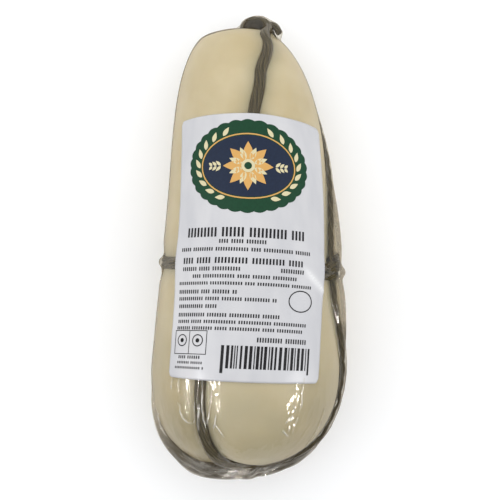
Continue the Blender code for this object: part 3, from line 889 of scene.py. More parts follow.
@dataclass
class Relief:
    """The heights of the cheese and of the film over the plain surface, at given points of it."""

    harness: Harness
    clearance: float = 0.00015
    bed_slope: float = 1.2
    plump: float = 0.0003
    skin_gap: float = 0.0005
    tent_start: float = 0.0019
    tent_foot: float = 0.005
    knot_gap: float = 0.0005

    def near(self, points: Array) -> Near:
        """For each run, the distance and the cord's height at the points."""
        return [run.nearest(points) for run in self.harness.runs]

    @staticmethod
    def closest(near: Near) -> Array:
        """The distance from the nearest of the loops and the girdle."""
        return np.min([apart for apart, _ in near[:3]], axis=0)

    def valley(self, points: Array, near: Near) -> Array:
        """How far the cheese sinks in the wide valley beside a cord.

        Args:
            points: Points of the plain surface.
            near: What near says of them.

        Returns:
            Its height, which is negative.
        """
        harness = self.harness
        foot = smooth(1.0 - points[:, 1] / (harness.foot_valley_share * harness.form.length))
        depth = harness.valley_depth + (harness.foot_valley_depth - harness.valley_depth) * foot
        free = 1.0 - harness.form.pressed(points)
        return -depth * free * np.exp(-((self.closest(near) / harness.valley_width) ** 2))

    def cheese(self, points: Array, near: Near) -> Array:
        """The cheese's height: the valley, and the bed that the cord has pressed in it.

        Args:
            points: Points of the plain surface.
            near: What near says of them.

        Returns:
            The heights.
        """
        height = self.valley(points, near) + self.plump
        for run, (apart, full_lift) in zip(self.harness.runs, near):
            bed = self.harness.cord_radius - run.slim + self.clearance
            lift = full_lift + run.slim
            inside = lift - np.sqrt(np.maximum(bed**2 - apart**2, 0.0))
            height = np.minimum(height, np.where(apart < bed, inside, lift + self.bed_slope * (apart - bed)))
        for knot in self.harness.knots:
            dome = knot.dome(points, self.clearance)
            height = np.where(dome > 0.0, np.minimum(height, knot.height - dome), height)
        return height

    def film(self, points: Array, near: Near) -> Array:
        """The film's height: on the cheese, and stretched over cords and knots.

        Args:
            points: Points of the plain surface.
            near: What near says of them.

        Returns:
            The heights.
        """
        skin = self.valley(points, near) + self.skin_gap
        height = skin
        radius = self.harness.cord_radius + self.clearance
        brink = math.sqrt(radius**2 - self.tent_start**2)
        proud = self.harness.proud_share(points[:, 1] / self.harness.form.length) * (points[:, 0] > 0.0)
        for run, (apart, bare_lift) in zip(self.harness.runs, near):
            lift = bare_lift + run.loose * proud
            crown = lift + np.sqrt(np.maximum(radius**2 - apart**2, 0.0))
            fall = np.clip((self.tent_foot - apart) / (self.tent_foot - self.tent_start), 0.0, 1.0) ** 2
            tent = skin + (lift + brink - skin) * fall
            height = np.maximum(height, np.where(apart < self.tent_start, crown, tent))
        for knot in self.harness.knots:
            dome = knot.dome(points, self.knot_gap)
            height = np.where(dome > 0.0, np.maximum(height, knot.height + dome), height)
        return height


# --- The loft that the cheese and the film are made on ---


@dataclass
class Loft:
    """Rows and columns of places on the plain form, finest beside the cords.

    Rows run from just after the foot to just before the head; the two end points are kept apart as poles.
    """

    form: CheeseForm
    harness: Harness
    fill: float = 0.0012
    finest: float = 0.0006
    growth: float = 0.03
    first_row: float = 0.0008
    cord_room: float = 0.7
    beside: tuple[float, ...] = (
        0.0005, 0.001, 0.0014, 0.0018, 0.0022, 0.0026, 0.0031, 0.0037, 0.0044, 0.0052)

    def __post_init__(self) -> None:
        """Works out every place, its point and its outward direction."""
        rows = self.row_reaches()
        belly = float(self.form.reach(0.4))
        counts = [self.fill_count(first, second, belly) for first, second in zip(LINES, LINES[1:])]
        self.angle = np.stack([self.column_angles(reach, counts) for reach in rows])
        level = float(self.form.reach(self.harness.girdle_share))
        toward = np.minimum(rows / level, (self.form.full_reach - rows) / (self.form.full_reach - level))
        self.reach = rows[:, None] - self.harness.girdle_tilt * toward[:, None] * np.sin(self.angle)
        self.points = self.form.surface(self.reach, self.angle)
        self.normals = self.form.outward(self.reach, self.angle)
        self.poles = self.form.surface(np.array([0.0, self.form.full_reach]), np.zeros(2))
        self.pole_normals = np.array([[0.0, -1.0, 0.0], [0.0, 1.0, 0.0]])

    def row_reaches(self) -> Array:
        """Spaces the rows: close together by the poles and beside the girdle.

        Returns:
            Their reaches.
        """
        level = float(self.form.reach(self.harness.girdle_share))
        margin = self.beside[-1]
        below = self.eased(level - margin)
        above = self.form.full_reach - self.eased(self.form.full_reach - level - margin)
        beside = np.array(self.beside)
        belt = np.concatenate([level - beside[-2::-1], [level], level + beside[:-1]])
        return np.concatenate([below, belt, above[::-1]])

    def eased(self, end: float) -> Array:
        """Spaces rows so that their steps grow from fine, at a pole, to the fill.

        Args:
            end: The last row's distance from the pole.

        Returns:
            The rows' distances from the pole.
        """
        found = [self.first_row]
        while found[-1] < end:
            found.append(found[-1] + min(self.fill, self.finest + self.growth * found[-1]))
        return np.array(found) * end / found[-1]

    def fill_count(self, first: AngleLine, second: AngleLine, reach: float) -> int:
        """Counts the columns that fill the space between two lines.

        Args:
            first: The one line.
            second: The next.
            reach: Where the space is measured.

        Returns:
            Their number.
        """
        share = self.form.share(reach)
        gap = float(second.angle(share) - first.angle(share)) * float(self.form.width(reach))
        cords = (first in CORDS) + (second in CORDS)
        return max(3, round((gap - cords * self.beside[-1]) / self.fill))

    def column_angles(self, reach: float, counts: Sequence[int]) -> Array:
        """Spreads the columns of one row, panel by panel.

        Args:
            reach: The row's reach.
            counts: How many columns fill each panel.

        Returns:
            The columns' angles.
        """
        share = float(self.form.share(reach))
        radius = max(float(self.form.width(reach)) * (1.0 + self.form.depth_ratio) / 2.0, 1e-6)
        angles: list[float] = []
        for first, second, count in zip(LINES, LINES[1:], counts):
            start = float(first.angle(share))
            gap = float(second.angle(share)) - start
            cords = (first in CORDS) + (second in CORDS)
            squeeze = min(1.0, gap * radius * self.cord_room / cords / self.beside[-1])
            beside = [offset / radius * squeeze for offset in self.beside]
            row = [0.0] + (beside if first in CORDS else [])
            tail = [gap - offset for offset in reversed(beside)] if second in CORDS else []
            low, high = row[-1], tail[0] if tail else gap
            row += [low + (high - low) * (k + 1) / (count + 1) for k in range(count)]
            angles += [start + value for value in row + tail]
        return np.array(angles)

    def raised(self, heights: Array) -> Array:
        """All points moved out by heights, the two poles first."""
        normals = np.concatenate([self.pole_normals, self.normals.reshape(-1, 3)])
        return self.flat_points() + normals * heights[:, None]

    def faces(self) -> list[tuple[int, ...]]:
        """Joins the points.

        Returns:
            The faces of the closed loft, all pointing out.
        """
        rows, columns = self.angle.shape
        last = 2 + (rows - 1) * columns
        around = [(k, (k + 1) % columns) for k in range(columns)]
        foot = [(0, 2 + after, 2 + k) for k, after in around]
        head = [(last + k, last + after, 1) for k, after in around]
        return foot + head + grid_faces(rows, columns, 2, True)

    def flat_points(self) -> Array:
        """The plain surface's points, the two poles first."""
        return np.concatenate([self.poles, self.points.reshape(-1, 3)])


# --- Geometry trees ---


class GeometryTree:
    """A geometry tree with named inputs, which grows a plain mesh from a seed mesh."""

    def __init__(self, name: str, sockets: dict[str, str]) -> None:
        """Makes the tree and its inputs.

        Args:
            name: The tree's name.
            sockets: For each input's name, its socket type without the prefix.
        """
        self.tree = bpy.data.node_groups.new(name, "GeometryNodeTree")
        self.tree.interface.new_socket("Geometry", in_out="INPUT", socket_type="NodeSocketGeometry")
        self.keys: dict[str, str] = {}
        for label, kind in sockets.items():
            socket = self.tree.interface.new_socket(label, in_out="INPUT", socket_type="NodeSocket" + kind)
            self.keys[label] = socket.identifier
        self.tree.interface.new_socket("Geometry", in_out="OUTPUT", socket_type="NodeSocketGeometry")
        self.start = self.tree.nodes.new("NodeGroupInput")

    def add(self, kind: str, inputs: Inputs = (), **settings: Any) -> Node:
        """Adds a node, as add_node does."""
        return add_node(self.tree, kind, inputs, **settings)

    def end(self, geometry: Node) -> None:
        """Ends the tree: instances made real, the material set."""
        real = self.add("RealizeInstances", (geometry,))
        self.add("NodeGroupOutput", (self.add("SetMaterial", {0: real, 2: self.start.outputs["Material"]}),))

    def grow(self, name: str, seed: Mesh, values: dict[str, Any]) -> Object:
        """Runs the tree on a seed mesh.

        Args:
            name: The new piece's name.
            seed: The mesh that the tree starts from.
            values: For each input's name, its value.

        Returns:
            A plain mesh object at the origin.
        """
        holder = placed(name + "_seed", seed)
        modifier = holder.modifiers.new("Grow", "NODES")
        modifier.node_group = self.tree
        for label, value in values.items():
            modifier[self.keys[label]] = value
        graph = bpy.context.evaluated_depsgraph_get()
        mesh = bpy.data.meshes.new_from_object(holder.evaluated_get(graph))
        holder.modifiers.remove(modifier)
        bpy.data.objects.remove(holder)
        mesh.name = name
        return placed(name, mesh)


def strand_tree() -> GeometryTree:
    """Makes the tree that lays twisted strands along a path.

    The seed is a line of edges whose points hold an outward direction named out. Each strand keeps its travel
    along the path and its ring direction, for the fibre pattern.

    Returns:
        The tree.
    """
    made = GeometryTree("Twisted strands", {
        "Strands": "Int", "Turns": "Float", "Half width": "Float", "Half height": "Float",
        "Strand radius": "Float", "Wander": "Float", "Seed": "Int", "Material": "Material"})
    add, given = made.add, made.start.outputs
    kept = add("MeshToCurve", (given["Geometry"],))
    spline = add("SplineParameter").outputs
    for name, value in (("travel", spline["Length"]), ("progress", spline["Factor"])):
        kept = add("StoreNamedAttribute", {"Geometry": kept, "Name": name, "Value": value})
    copies = add("DuplicateElements", {"Geometry": kept, "Amount": given["Strands"]}, domain="SPLINE")
    progress, spread = [add("InputNamedAttribute", {"Name": name}) for name in ("progress", "spread")]
    out = add("InputNamedAttribute FLOAT_VECTOR", {"Name": "out"})
    number = copies.outputs["Duplicate Index"]
    place = add("Math DIVIDE", (number, given["Strands"]))
    twist = add("Math MULTIPLY_ADD", (progress, given["Turns"], place))
    angle = add("Math MULTIPLY", (twist, math.tau))
    cosine, sine = [add("Math " + name, (angle,)) for name in ("COSINE", "SINE")]
    width = add("Math MULTIPLY", (spread, given["Half width"]))
    aside = add("Math MULTIPLY", (cosine, width))
    above = add("Math MULTIPLY", (sine, given["Half height"]))
    across = add("VectorMath CROSS_PRODUCT", (add("InputTangent"), out))
    sideways = add("VectorMath SCALE", {0: across, "Scale": aside})
    upward = add("VectorMath SCALE", {0: out, "Scale": above})
    offset = add("VectorMath ADD", (sideways, upward))
    lane = add("Math MULTIPLY_ADD", (number, 3.7, given["Seed"]))
    drift = add("TexNoise", {"Vector": add("InputPosition"), "W": lane, "Scale": 90.0, "Detail": 1.0},
                noise_dimensions="4D")
    centred = add("VectorMath SUBTRACT", (drift.outputs["Color"], (0.5, 0.5, 0.5)))
    wander = add("VectorMath SCALE", {0: centred, "Scale": given["Wander"]})
    laid = add("SetPosition", {"Geometry": copies, "Offset": add("VectorMath ADD", (offset, wander))})
    circle = add("CurvePrimitiveCircle", {"Resolution": 8, "Radius": given["Strand radius"]})
    full = add("Math MULTIPLY", (add("SplineParameter").outputs["Factor"], math.tau))
    ring = add("CombineXYZ", tuple(add("Math " + name, (full,)) for name in ("COSINE", "SINE")))
    profile = add("StoreNamedAttribute FLOAT_VECTOR", {"Geometry": circle, "Name": "ring", "Value": ring})
    tube = add("CurveToMesh", {"Curve": laid, "Profile Curve": profile, "Fill Caps": True})
    made.end(add("SetShadeSmooth", {"Geometry": tube}))
    return made


def wrap_nodes(made: GeometryTree, geometry: Node) -> Node:
    """Adds the nodes that bend flat print onto the label.

    Args:
        made: The tree, with inputs named Label, Width and Height.
        geometry: The flat print, in the label's own metres round its middle, with its layer as its height.

    Returns:
        The node that gives the bent print.
    """
    add, given = made.add, made.start.outputs
    label = add("GeometryNodeObjectInfo", {"Object": given["Label"]}, transform_space="ORIGINAL")
    chart = add("InputNamedAttribute FLOAT_VECTOR", {"Name": "UVMap"})
    own = add("SeparateXYZ", (add("InputPosition"),))
    u = add("Math DIVIDE", (own.outputs[0], given["Width"]))
    v = add("Math DIVIDE", (own.outputs[1], given["Height"]))
    flat = add("VectorMath ADD", (add("CombineXYZ", (u, v)), (0.5, 0.5, 0.0)))
    place = "flat_place"
    kept = add("StoreNamedAttribute FLOAT_VECTOR", {"Geometry": geometry, "Name": place, "Value": flat})
    where = add("InputNamedAttribute FLOAT_VECTOR", {"Name": place})
    sheet = {"Mesh": label.outputs["Geometry"], "Source UV Map": chart, "Sample UV": where}
    spot, normal = [add("SampleUVSurface FLOAT_VECTOR", {**sheet, "Value": add("Input" + name)})
                    for name in ("Position", "Normal")]
    rise = add("VectorMath SCALE", {0: normal, "Scale": own.outputs[2]})
    return add("SetPosition", {"Geometry": kept, "Position": add("VectorMath ADD", (spot, rise))})


WRAP_INPUTS = {"Label": "Object", "Width": "Float", "Height": "Float", "Material": "Material"}


def mark_tree() -> GeometryTree:
    """Makes the tree that sets a bar on each seed point, as large as the point's size says.

    Returns:
        The tree.
    """
    made = GeometryTree("Printed bars", {"Across": "Int", "Up": "Int", **WRAP_INPUTS})
    add, given = made.add, made.start.outputs
    dots = add("MeshToPoints", {"Mesh": given["Geometry"]})
    bar = add("MeshGrid", (1.0, 1.0, given["Across"], given["Up"]))
    size = add("InputNamedAttribute FLOAT_VECTOR", {"Name": "size"})
    set_out = add("InstanceOnPoints", {"Points": dots, "Instance": bar, "Scale": size})
    real = add("RealizeInstances", (set_out,))
    made.end(wrap_nodes(made, real))
    return made


def shape_tree() -> GeometryTree:
    """Makes the tree that bends flat printed shapes onto the label.

    Returns:
        The tree.
    """
    made = GeometryTree("Printed shapes", dict(WRAP_INPUTS))
    made.end(wrap_nodes(made, made.start))
    return made


# --- The cheese ---


@dataclass
class Cheese:
    """The cheese itself: a smooth pear of stretched curd with the cord's bed pressed in it."""

    loft: Loft
    relief: Relief
    shift: Array
    swell: float = 0.00035
    swell_size: float = 0.03
    swell_start: float = 0.004
    swell_rise: float = 0.006
    # Painted shade: how strongly the skin turns grey-green beside the cord, for its stain and the shade in its
    # valley.
    stain_and_shade: float = 0.7
    # Painted shade: how strongly the skin turns greyer and darker towards the foot, partly brine-soaked curd.
    wet_shade: float = 0.8
    wet_size: float = 0.02
    # Painted shade: how far from the cord the grey-green stain and shade reach.
    stain_and_shade_reach: float = 0.0056
    # Painted shade: the shares of the length up to which the greyer, darker tone reaches, fully and in part.
    soak_shade_share: float = 0.38
    damp_shade_share: float = 0.74

    def build(self) -> Object:
        """Makes the piece.

        Returns:
            The cheese.
        """
        points = self.loft.flat_points()
        near = self.relief.near(points)
        heights = self.relief.cheese(points, near)
        closest = self.relief.closest(near)
        free = 1.0 - self.relief.harness.form.pressed(points)
        away = smooth((closest - self.swell_start) / self.swell_rise)
        heights -= self.swell * free * away * (0.5 + 0.5 * fractal(points, self.swell_size, 2))
        piece = mesh_object("cheese_body", self.loft.raised(heights) + self.shift, self.loft.faces(),
                            StretchedCurd().make())
        # The grey-green tone by the cord: its stain and painted shade in the valley.
        store(piece.data, "cord_shade", self.stain_and_shade * np.exp(-((closest / self.stain_and_shade_reach) ** 2)))
        # Greyer and darker towards the foot, fading out past mid length: brine-soaked curd and painted shade,
        # in patches.
        share = points[:, 1] / self.loft.form.length
        soaked = 0.5 * smooth(1.0 - share / self.soak_shade_share) + 0.5 * smooth((self.damp_shade_share - share) / 0.5)
        patches = (0.8 + 0.4 * fractal(points, self.wet_size, 2, 9.0)).clip(0.0, 1.0)
        store(piece.data, "wetness", self.wet_shade * soaked * patches)
        return seat(piece, "cheese", "cheese")


# --- The cord ---


@dataclass(frozen=True)
class Lay:
    """How strands lie: their number and radius, the bundle's half sizes, and the length of a full twist."""

    strands: int
    radius: float
    half_width: float
    half_height: float
    pitch: float
    spread: float = 0.0


class Twist(Enum):
    """The lays in use: flat and loose for the main cord, thin for the right loop, wound for the knots."""

    WIDE = Lay(6, 0.00082, 0.00162, 0.001, 0.085)
    THIN = Lay(3, 0.00056, 0.00068, 0.00064, 0.022, 0.7)
    BELT = Lay(6, 0.00076, 0.00165, 0.00075, 0.11, 0.95)
    KNOT = Lay(3, 0.00066, 0.0007, 0.0005, 0.022)
    ARCH = Lay(4, 0.00058, 0.00062, 0.0006, 0.012)
    STUB = Lay(6, 0.00062, 0.001, 0.0009, 0.06)


@dataclass
class CordHarness:
    """The tied cord: strands laid along each run, windings for the knots, and a cut end."""

    harness: Harness
    shift: Array
    wander: float = 0.0007
    core: float = 0.78
    wound: float = 0.0011
    spread_reach: float = 0.011
    arch: tuple[Pair, ...] = (
        (-9.5, -1.2), (-8.7, 1.7), (-7.3, 3.6), (-4.9, 4.6), (-2.2, 4.6), (0.4, 4.0), (2.7, 2.5), (4.6, 0.6))

    def lay(self, name: str, points: Array, out: Array, twist: Twist, seed: int, closed: bool = False,
            spread: Array | float = 0.0) -> Object:
        """Lays strands along a line.

        Args:
            name: The new part's name.
            points: The line's points.
            out: The outward direction at each.
            twist: How the strands lie.
            seed: The seed of their wander.
            closed: Whether the last point joins the first, which takes a whole number of turns.
            spread: How far the strands part at each point, as a share of the bundle's width.

        Returns:
            The strands.
        """
        mesh = bpy.data.meshes.new("path")
        count = len(points)
        edges = [(k, (k + 1) % count) for k in range(count if closed else count - 1)]
        mesh.from_pydata((points + self.shift).tolist(), edges, [])
        store(mesh, "out", out)
        store(mesh, "spread", 1.0 + spread * np.ones(count))
        lay = twist.value
        turns = float(travelled(points)[-1]) / lay.pitch
        return self.tree.grow(name, mesh, {
            "Strands": lay.strands, "Turns": float(round(turns)) if closed else turns,
            "Half width": lay.half_width, "Half height": lay.half_height, "Strand radius": lay.radius,
            "Wander": self.wander, "Seed": seed, "Material": self.finish})

    def winding(self, knot: Knot, axis: Array, wraps: float) -> tuple[Array, Array]:
        """A coil wound round a knot's core.

        Args:
            knot: The lump that the coil fills.
            axis: The direction that the coil climbs along.
            wraps: How many turns it has.

        Returns:
            The coil's points and outward directions.
        """
        third = knot.across
        upward = unit(np.cross(axis, third))
        turn = np.linspace(0.0, math.tau * wraps, int(40 * wraps))
        climb = np.linspace(-1.0, 1.0, len(turn))
        bulge = np.sqrt(np.maximum(0.0, 1.0 - (0.75 * climb) ** 2))
        aside = third * ((knot.half(third) - self.wound) * np.cos(turn) * bulge)[:, None]
        above = upward * ((knot.half(upward) - self.wound) * np.sin(turn) * bulge)[:, None]
        along = axis * ((knot.half(axis) - self.wound) * climb)[:, None]
        return knot.centre + aside + above + along, unit(aside + above)

    def arched(self) -> tuple[Array, Array]:
        """Bends the turn of cord that stands over the head like a handle.

        Returns:
            Its points and outward directions.
        """
        form = self.harness.form
        pole = form.surface(form.full_reach, 0.0)
        places = np.array([(x, y, 0.0) for x, y in self.arch]) * MM
        for _ in range(3):
            middle = (places[1:] + places[:-1]) / 2.0
            places = np.insert(places, range(1, len(places)), middle, axis=0)
            places[1:-1] = (places[:-2] + 2.0 * places[1:-1] + places[2:]) / 4.0
        centre = places.mean(axis=0) - np.array([0.0, 0.004, 0.0])
        return pole + places, unit(places - centre)

    def lump(self, knot: Knot, finish: Material) -> Object:
        """Makes the wound core that shows between a knot's turns.

        Args:
            knot: The knot.
            finish: The core's material.

        Returns:
            The core.
        """
        work = bmesh.new()
        bmesh.ops.create_icosphere(work, subdivisions=3, radius=self.core)
        for vertex in work.verts:
            x, y, z = vertex.co
            vertex.co = (knot.centre + knot.along * (x * knot.sizes[0]) + knot.across * (y * knot.sizes[1])
                         + knot.normal * (z * knot.sizes[2]) + self.shift)
        bmesh.ops.recalc_face_normals(work, faces=work.faces)
        mesh = bpy.data.meshes.new("core")
        work.to_mesh(mesh)
        work.free()
        mesh.shade_smooth()
        mesh.materials.append(finish)
        return placed("core", mesh)

    def build(self) -> Object:
        """Joins every run and winding.

        Returns:
            The piece.
        """
        self.finish, self.tree = TwistedFibre().make(), strand_tree()
        parts = []
        lays = (("front_back", Twist.WIDE), ("right_left", Twist.THIN), ("girdle", Twist.BELT),
                ("cut_end", Twist.STUB))
        right, left, head = self.harness.knots
        for k, (run, (name, twist)) in enumerate(zip(self.harness.runs, lays)):
            centres = run.centres
            apart = np.min([np.linalg.norm(centres - knot.centre, axis=1) for knot in (right, left)], axis=0)
            spread = twist.value.spread * np.exp(-((apart / self.spread_reach) ** 2))
            parts.append(self.lay("cord_" + name, centres, run.normals, twist, k, run.closed, spread))
        lean = unit(right.along - 0.5 * right.across)
        over = unit(right.across - 0.6 * right.along)
        coils = ((right, lean, 3.5), (right, over, 2.0), (left, left.along, 4.0))
        for k, (knot, axis, wraps) in enumerate(coils):
            parts.append(self.lay(f"knot_{k}", *self.winding(knot, axis, wraps), Twist.KNOT, 10 + k))
        parts.append(self.lay("arch", *self.arched(), Twist.ARCH, 20))
        # The knot cores take a darker copy of the cord finish: painted shade between the knot's turns.
        dark = TwistedFibre("Shaded fibre core", "#2C2516", "#100C05", "#3B3221").make()
        parts += [self.lump(knot, dark) for knot in (right, left, head)]
        return seat(join("cord_harness", parts), "cord", "cord")


def join(name: str, parts: list[Object]) -> Object:
    """Joins mesh objects at the origin.

    Args:
        name: The whole's name.
        parts: The objects.

    Returns:
        One object, which keeps their materials and attributes.
    """
    with bpy.context.temp_override(active_object=parts[0], selected_editable_objects=parts):
        bpy.ops.object.join()
    parts[0].name = parts[0].data.name = name
    return parts[0]


# --- The film ---


@dataclass(frozen=True)
class Pleat:
    """A narrow fold of film: its places as reach in millimetres and angle in degrees, and how white its
    painted highlight is.
    """

    places: tuple[Pair, ...]
    height: float = 0.0005
    half_width: float = 0.0006
    # Painted highlight: how strongly the fold is whitened to stand for the glint on it.
    white: float = 0.8


PLEATS = tuple(Pleat(*row) for row in (
    (((64.2, -49.4), (59.1, -49.8)), 0.0006), (((64.7, -43.4), (57.9, -43.9)), 0.0006, 0.0007),
    (((53.7, -46.0), (52.6, -43.8), (50.1, -43.8), (47.0, -42.9), (45.1, -40.5), (44.7, -37.0)),
     0.0006, 0.0007),
    (((44.7, -36.5), (47.2, -33.8), (51.3, -32.2), (54.8, -31.6)),),
    (((50.2, -74.0), (45.7, -75.0), (40.7, -79.3), (34.1, -84.6)), 0.0006, 0.0006),
    (((54.2, -28.4), (50.1, -28.9), (46.4, -30.3), (42.7, -30.7)),),
    (((64.0, -26.8), (59.1, -26.3), (51.9, -26.9), (47.0, -26.8), (44.3, -26.1)), 0.00038, 0.0004),
    (((63.3, -20.7), (57.0, -21.3), (52.4, -22.3), (49.4, -23.3), (44.4, -25.2)),),
    (((49.5, -18.2), (47.0, -18.9), (44.9, -19.7), (42.0, -21.9)),),
    (((45.3, -20.2), (42.9, -17.2), (39.1, -13.7)), 0.0006, 0.0007),
    (((64.7, 35.3), (58.8, 34.4), (53.5, 35.0), (50.1, 34.8)), 0.0006, 0.0005),
    (((48.8, 34.5), (44.8, 33.6), (40.5, 34.1)),), (((49.3, 29.9), (46.1, 29.2)), 0.0006, 0.0009),
    (((45.3, 26.3), (48.4, 28.6)), 0.00045, 0.0005), (((54.0, 29.3), (50.1, 31.4)), 0.00045, 0.0005),
    (((44.6, 30.3), (41.5, 30.5)), 0.00045, 0.0006), (((42.8, 25.2), (39.4, 31.2)), 0.00045, 0.0006),
    (((50.7, 57.5), (41.7, 58.6), (32.1, 59.6)), 0.00075, 0.0009, 0.3),
    (((54.1, 80.5), (49.7, 80.9)), 0.0006), (((46.7, 80.0), (38.7, 80.5), (30.7, 80.0)), 0.0006),
))


@dataclass
class VacuumBag:
    """The clear film: a skin drawn tight over cheese and cord, narrow pleats, and crinkled fins."""

    loft: Loft
    relief: Relief
    shift: Array
    fin_left: float = 0.0003
    fin_right: float = 0.0021
    fin_head_reach: float = 0.06
    fin_foot: float = 0.0086
    fin_foot_reach: float = 0.06
    fin_pole: float = 0.0053
    fin_foot_right: float = 0.0088
    edge_window: int = 17
    right_density: float = 0.9
    fin_pole_reach: float = 0.009
    fin_leans: tuple[float, ...] = (-0.6, 0.0, 0.6, 1.5)
    fin_rows: int = 9
    fin_spacing: float = 0.0006
    ruffle: float = 0.0013
    crease: float = 0.00035
    grain_radius: float = 0.035
    grain_stretch: float = 0.5
    band_start: float = 0.04
    band_reach: float = 0.0085
    # Painted shade: how much the film greys towards the foot's flanks and back, partly folded film.
    veil: float = 0.2
    pleat_step: float = 0.0004
    pleat_sink: float = 0.00012
    pleat_wave: float = 0.00025
    pleat_wave_size: float = 0.0035
    foot_share: float = 0.34
    crease_size: float = 0.0065
    tent_middle: float = 0.0042
    tent_half: float = 0.0028
    band_fade: float = 0.003
    band_steps: tuple[Pair, ...] = ((0.2, 0.66), (0.6, 0.3))
    band_step: float = 0.12
    veil_start: float = 0.35
    veil_rise: float = 0.5
    white_share: float = 0.36
    fin_density: float = 0.75
    fine_size: float = 0.003
    slow_size: float = 0.011
    trim_size: float = 0.012

    def grain(self, reach: Array, angle: Array) -> Array:
        """The crease pattern's coordinates: creases run lengthwise."""
        return np.stack([np.cos(angle) * self.grain_radius, np.sin(angle) * self.grain_radius,
                         reach * self.grain_stretch], axis=-1)

    def lie(self, points: Array, reach: Array, angle: Array) -> tuple[Array, Array, Array]:
        """How the skin lies over points of the plain surface.

        Args:
            points: The points.
            reach: Their reaches.
            angle: Their angles.

        Returns:
            The skin's height, how slack it is, and how far it is folded on itself, with painted shade added
            towards the foot's flanks.
        """
        form = self.loft.form
        near = self.relief.near(points)
        free = 1.0 - form.pressed(points)
        foot = smooth(1.0 - points[:, 1] / (self.foot_share * form.length))
        closest = self.relief.closest(near)
        beside = np.exp(-(((closest - self.tent_middle) / self.tent_half) ** 2))
        folds = (1.0 - np.abs(fractal(self.grain(reach, angle), self.crease_size, 3, 5.0))) ** 5
        height = self.relief.film(points, near) + free * self.crease * folds * (0.9 * foot + 0.25 * beside)
        share = form.share(reach)
        turned = (angle - RIGHT_CORD.angle(share) + self.band_start) % (math.tau)
        layered = smooth((self.band_reach - near[1][0]) / self.band_fade) * (turned < 1.0)
        layered *= sum(part * smooth((end - share) / self.band_step) for part, end in self.band_steps)
        aside = np.abs((angle + math.pi) % (math.tau) - math.pi)
        # Towards the foot's flanks and back the film greys: partly folded film, partly painted shade.
        layered = np.maximum(layered, self.veil * foot * smooth((aside - self.veil_start) / self.veil_rise))
        return height, free * (0.1 + 0.45 * beside + 0.8 * foot).clip(0.0, 1.0), free * layered

    def build(self) -> list[Object]:
        """Makes the skin, the pleats and the fins.

        Returns:
            The pieces.
        """
        form = self.loft.form
        points = self.loft.flat_points()
        reach = np.concatenate([[0.0, form.full_reach], self.loft.reach.reshape(-1)])
        angle = np.concatenate([[0.0, 0.0], self.loft.angle.reshape(-1)])
        heights, slack, layered = self.lie(points, reach, angle)
        skin = mesh_object("film_skin", self.loft.raised(heights) + self.shift, self.loft.faces(),
                           BarrierFilm().make())
        store(skin.data, "slack", slack)
        store(skin.data, "layered", layered)
        store(skin.data, "grain", self.grain(reach, angle))
        # The pleats are whitened with a milky haze: painted highlights standing for the glints on the folds.
        fold = BarrierFilm("Whitened film fold", layered_tint="#FFFFFF", haze_tint="#F8F4E8", haze=1.0).make()
        pieces = [skin, join("film_pleats", [self.pleat(pleat, fold) for pleat in PLEATS]),
                  self.fins(heights)]
        return [seat(piece, "film", "film_front", "film_back") for piece in pieces]

    def pleat(self, pleat: Pleat, film: Material) -> Object:
        """Makes one pleat: a low ridge whose two edges dip under the skin.

        Args:
            pleat: Its places and sizes.
            film: Its material.

        Returns:
            The strip.
        """
        form = self.loft.form
        places = np.array(pleat.places)
        corners = form.surface(places[:, 0] * MM, np.radians(places[:, 1]))
        travel = travelled(corners)
        even = np.linspace(0.0, travel[-1], max(6, int(travel[-1] / self.pleat_step)))
        reach = np.interp(even, travel, places[:, 0] * MM)
        angle = np.interp(even, travel, np.radians(places[:, 1]))
        middle = form.surface(reach, angle)
        normals = form.outward(reach, angle)
        sideways = unit(np.cross(normals, np.gradient(middle, axis=0)))
        ends = np.sin(math.pi * even / even[-1]) ** 0.6
        wave = fractal(middle, self.pleat_wave_size, 2, 31.0)
        across = np.linspace(-1.0, 1.0, 9)
        points = middle[:, None] + sideways[:, None] * (across * pleat.half_width)[None, :, None]
        points += sideways[:, None] * (self.pleat_wave * wave)[:, None, None]
        flat = points.reshape(-1, 3)
        spread = (np.repeat(reach, len(across)), np.repeat(angle, len(across)))
        height, _, _ = self.lie(flat, *spread)
        ridge = pleat.height * (1.0 - across**2) ** 2 * (ends * (0.85 + 0.3 * wave))[:, None]
        lifted = flat + np.repeat(normals, len(across), axis=0) * (
            height - self.pleat_sink + 2.0 * self.pleat_sink * np.tile(1.0 - across**4, len(even))
            + ridge.reshape(-1))[:, None]
        piece = mesh_object("pleat", lifted + self.shift, grid_faces(len(even), len(across)), film)
        store(piece.data, "slack", np.full(len(lifted), 0.25))
        # The white along the pleat's middle is a painted highlight.
        store(piece.data, "layered", (pleat.white * (1.0 - across**2) ** 2 * ends[:, None]).reshape(-1))
        store(piece.data, "grain", self.grain(*spread))
        return piece

    def fin_width(self, reach: Array) -> Array:
        """Finds the fin's width, which is broadest beside the foot.

        Args:
            reach: The places' reaches, negative on the pack's left.

        Returns:
            One width a place.
        """
        widening = smooth((self.loft.form.full_reach - reach) / self.fin_head_reach) * (reach > 0.0)
        side = self.fin_left + (self.fin_right - self.fin_left) * widening
        toward_foot = smooth(1.0 - np.abs(reach) / self.fin_foot_reach) ** 0.7
        foot = np.where(reach > 0.0, self.fin_foot_right, self.fin_foot)
        pole = (self.fin_pole - foot) * np.exp(-((reach / self.fin_pole_reach) ** 2))
        return side + (foot - side) * toward_foot + pole

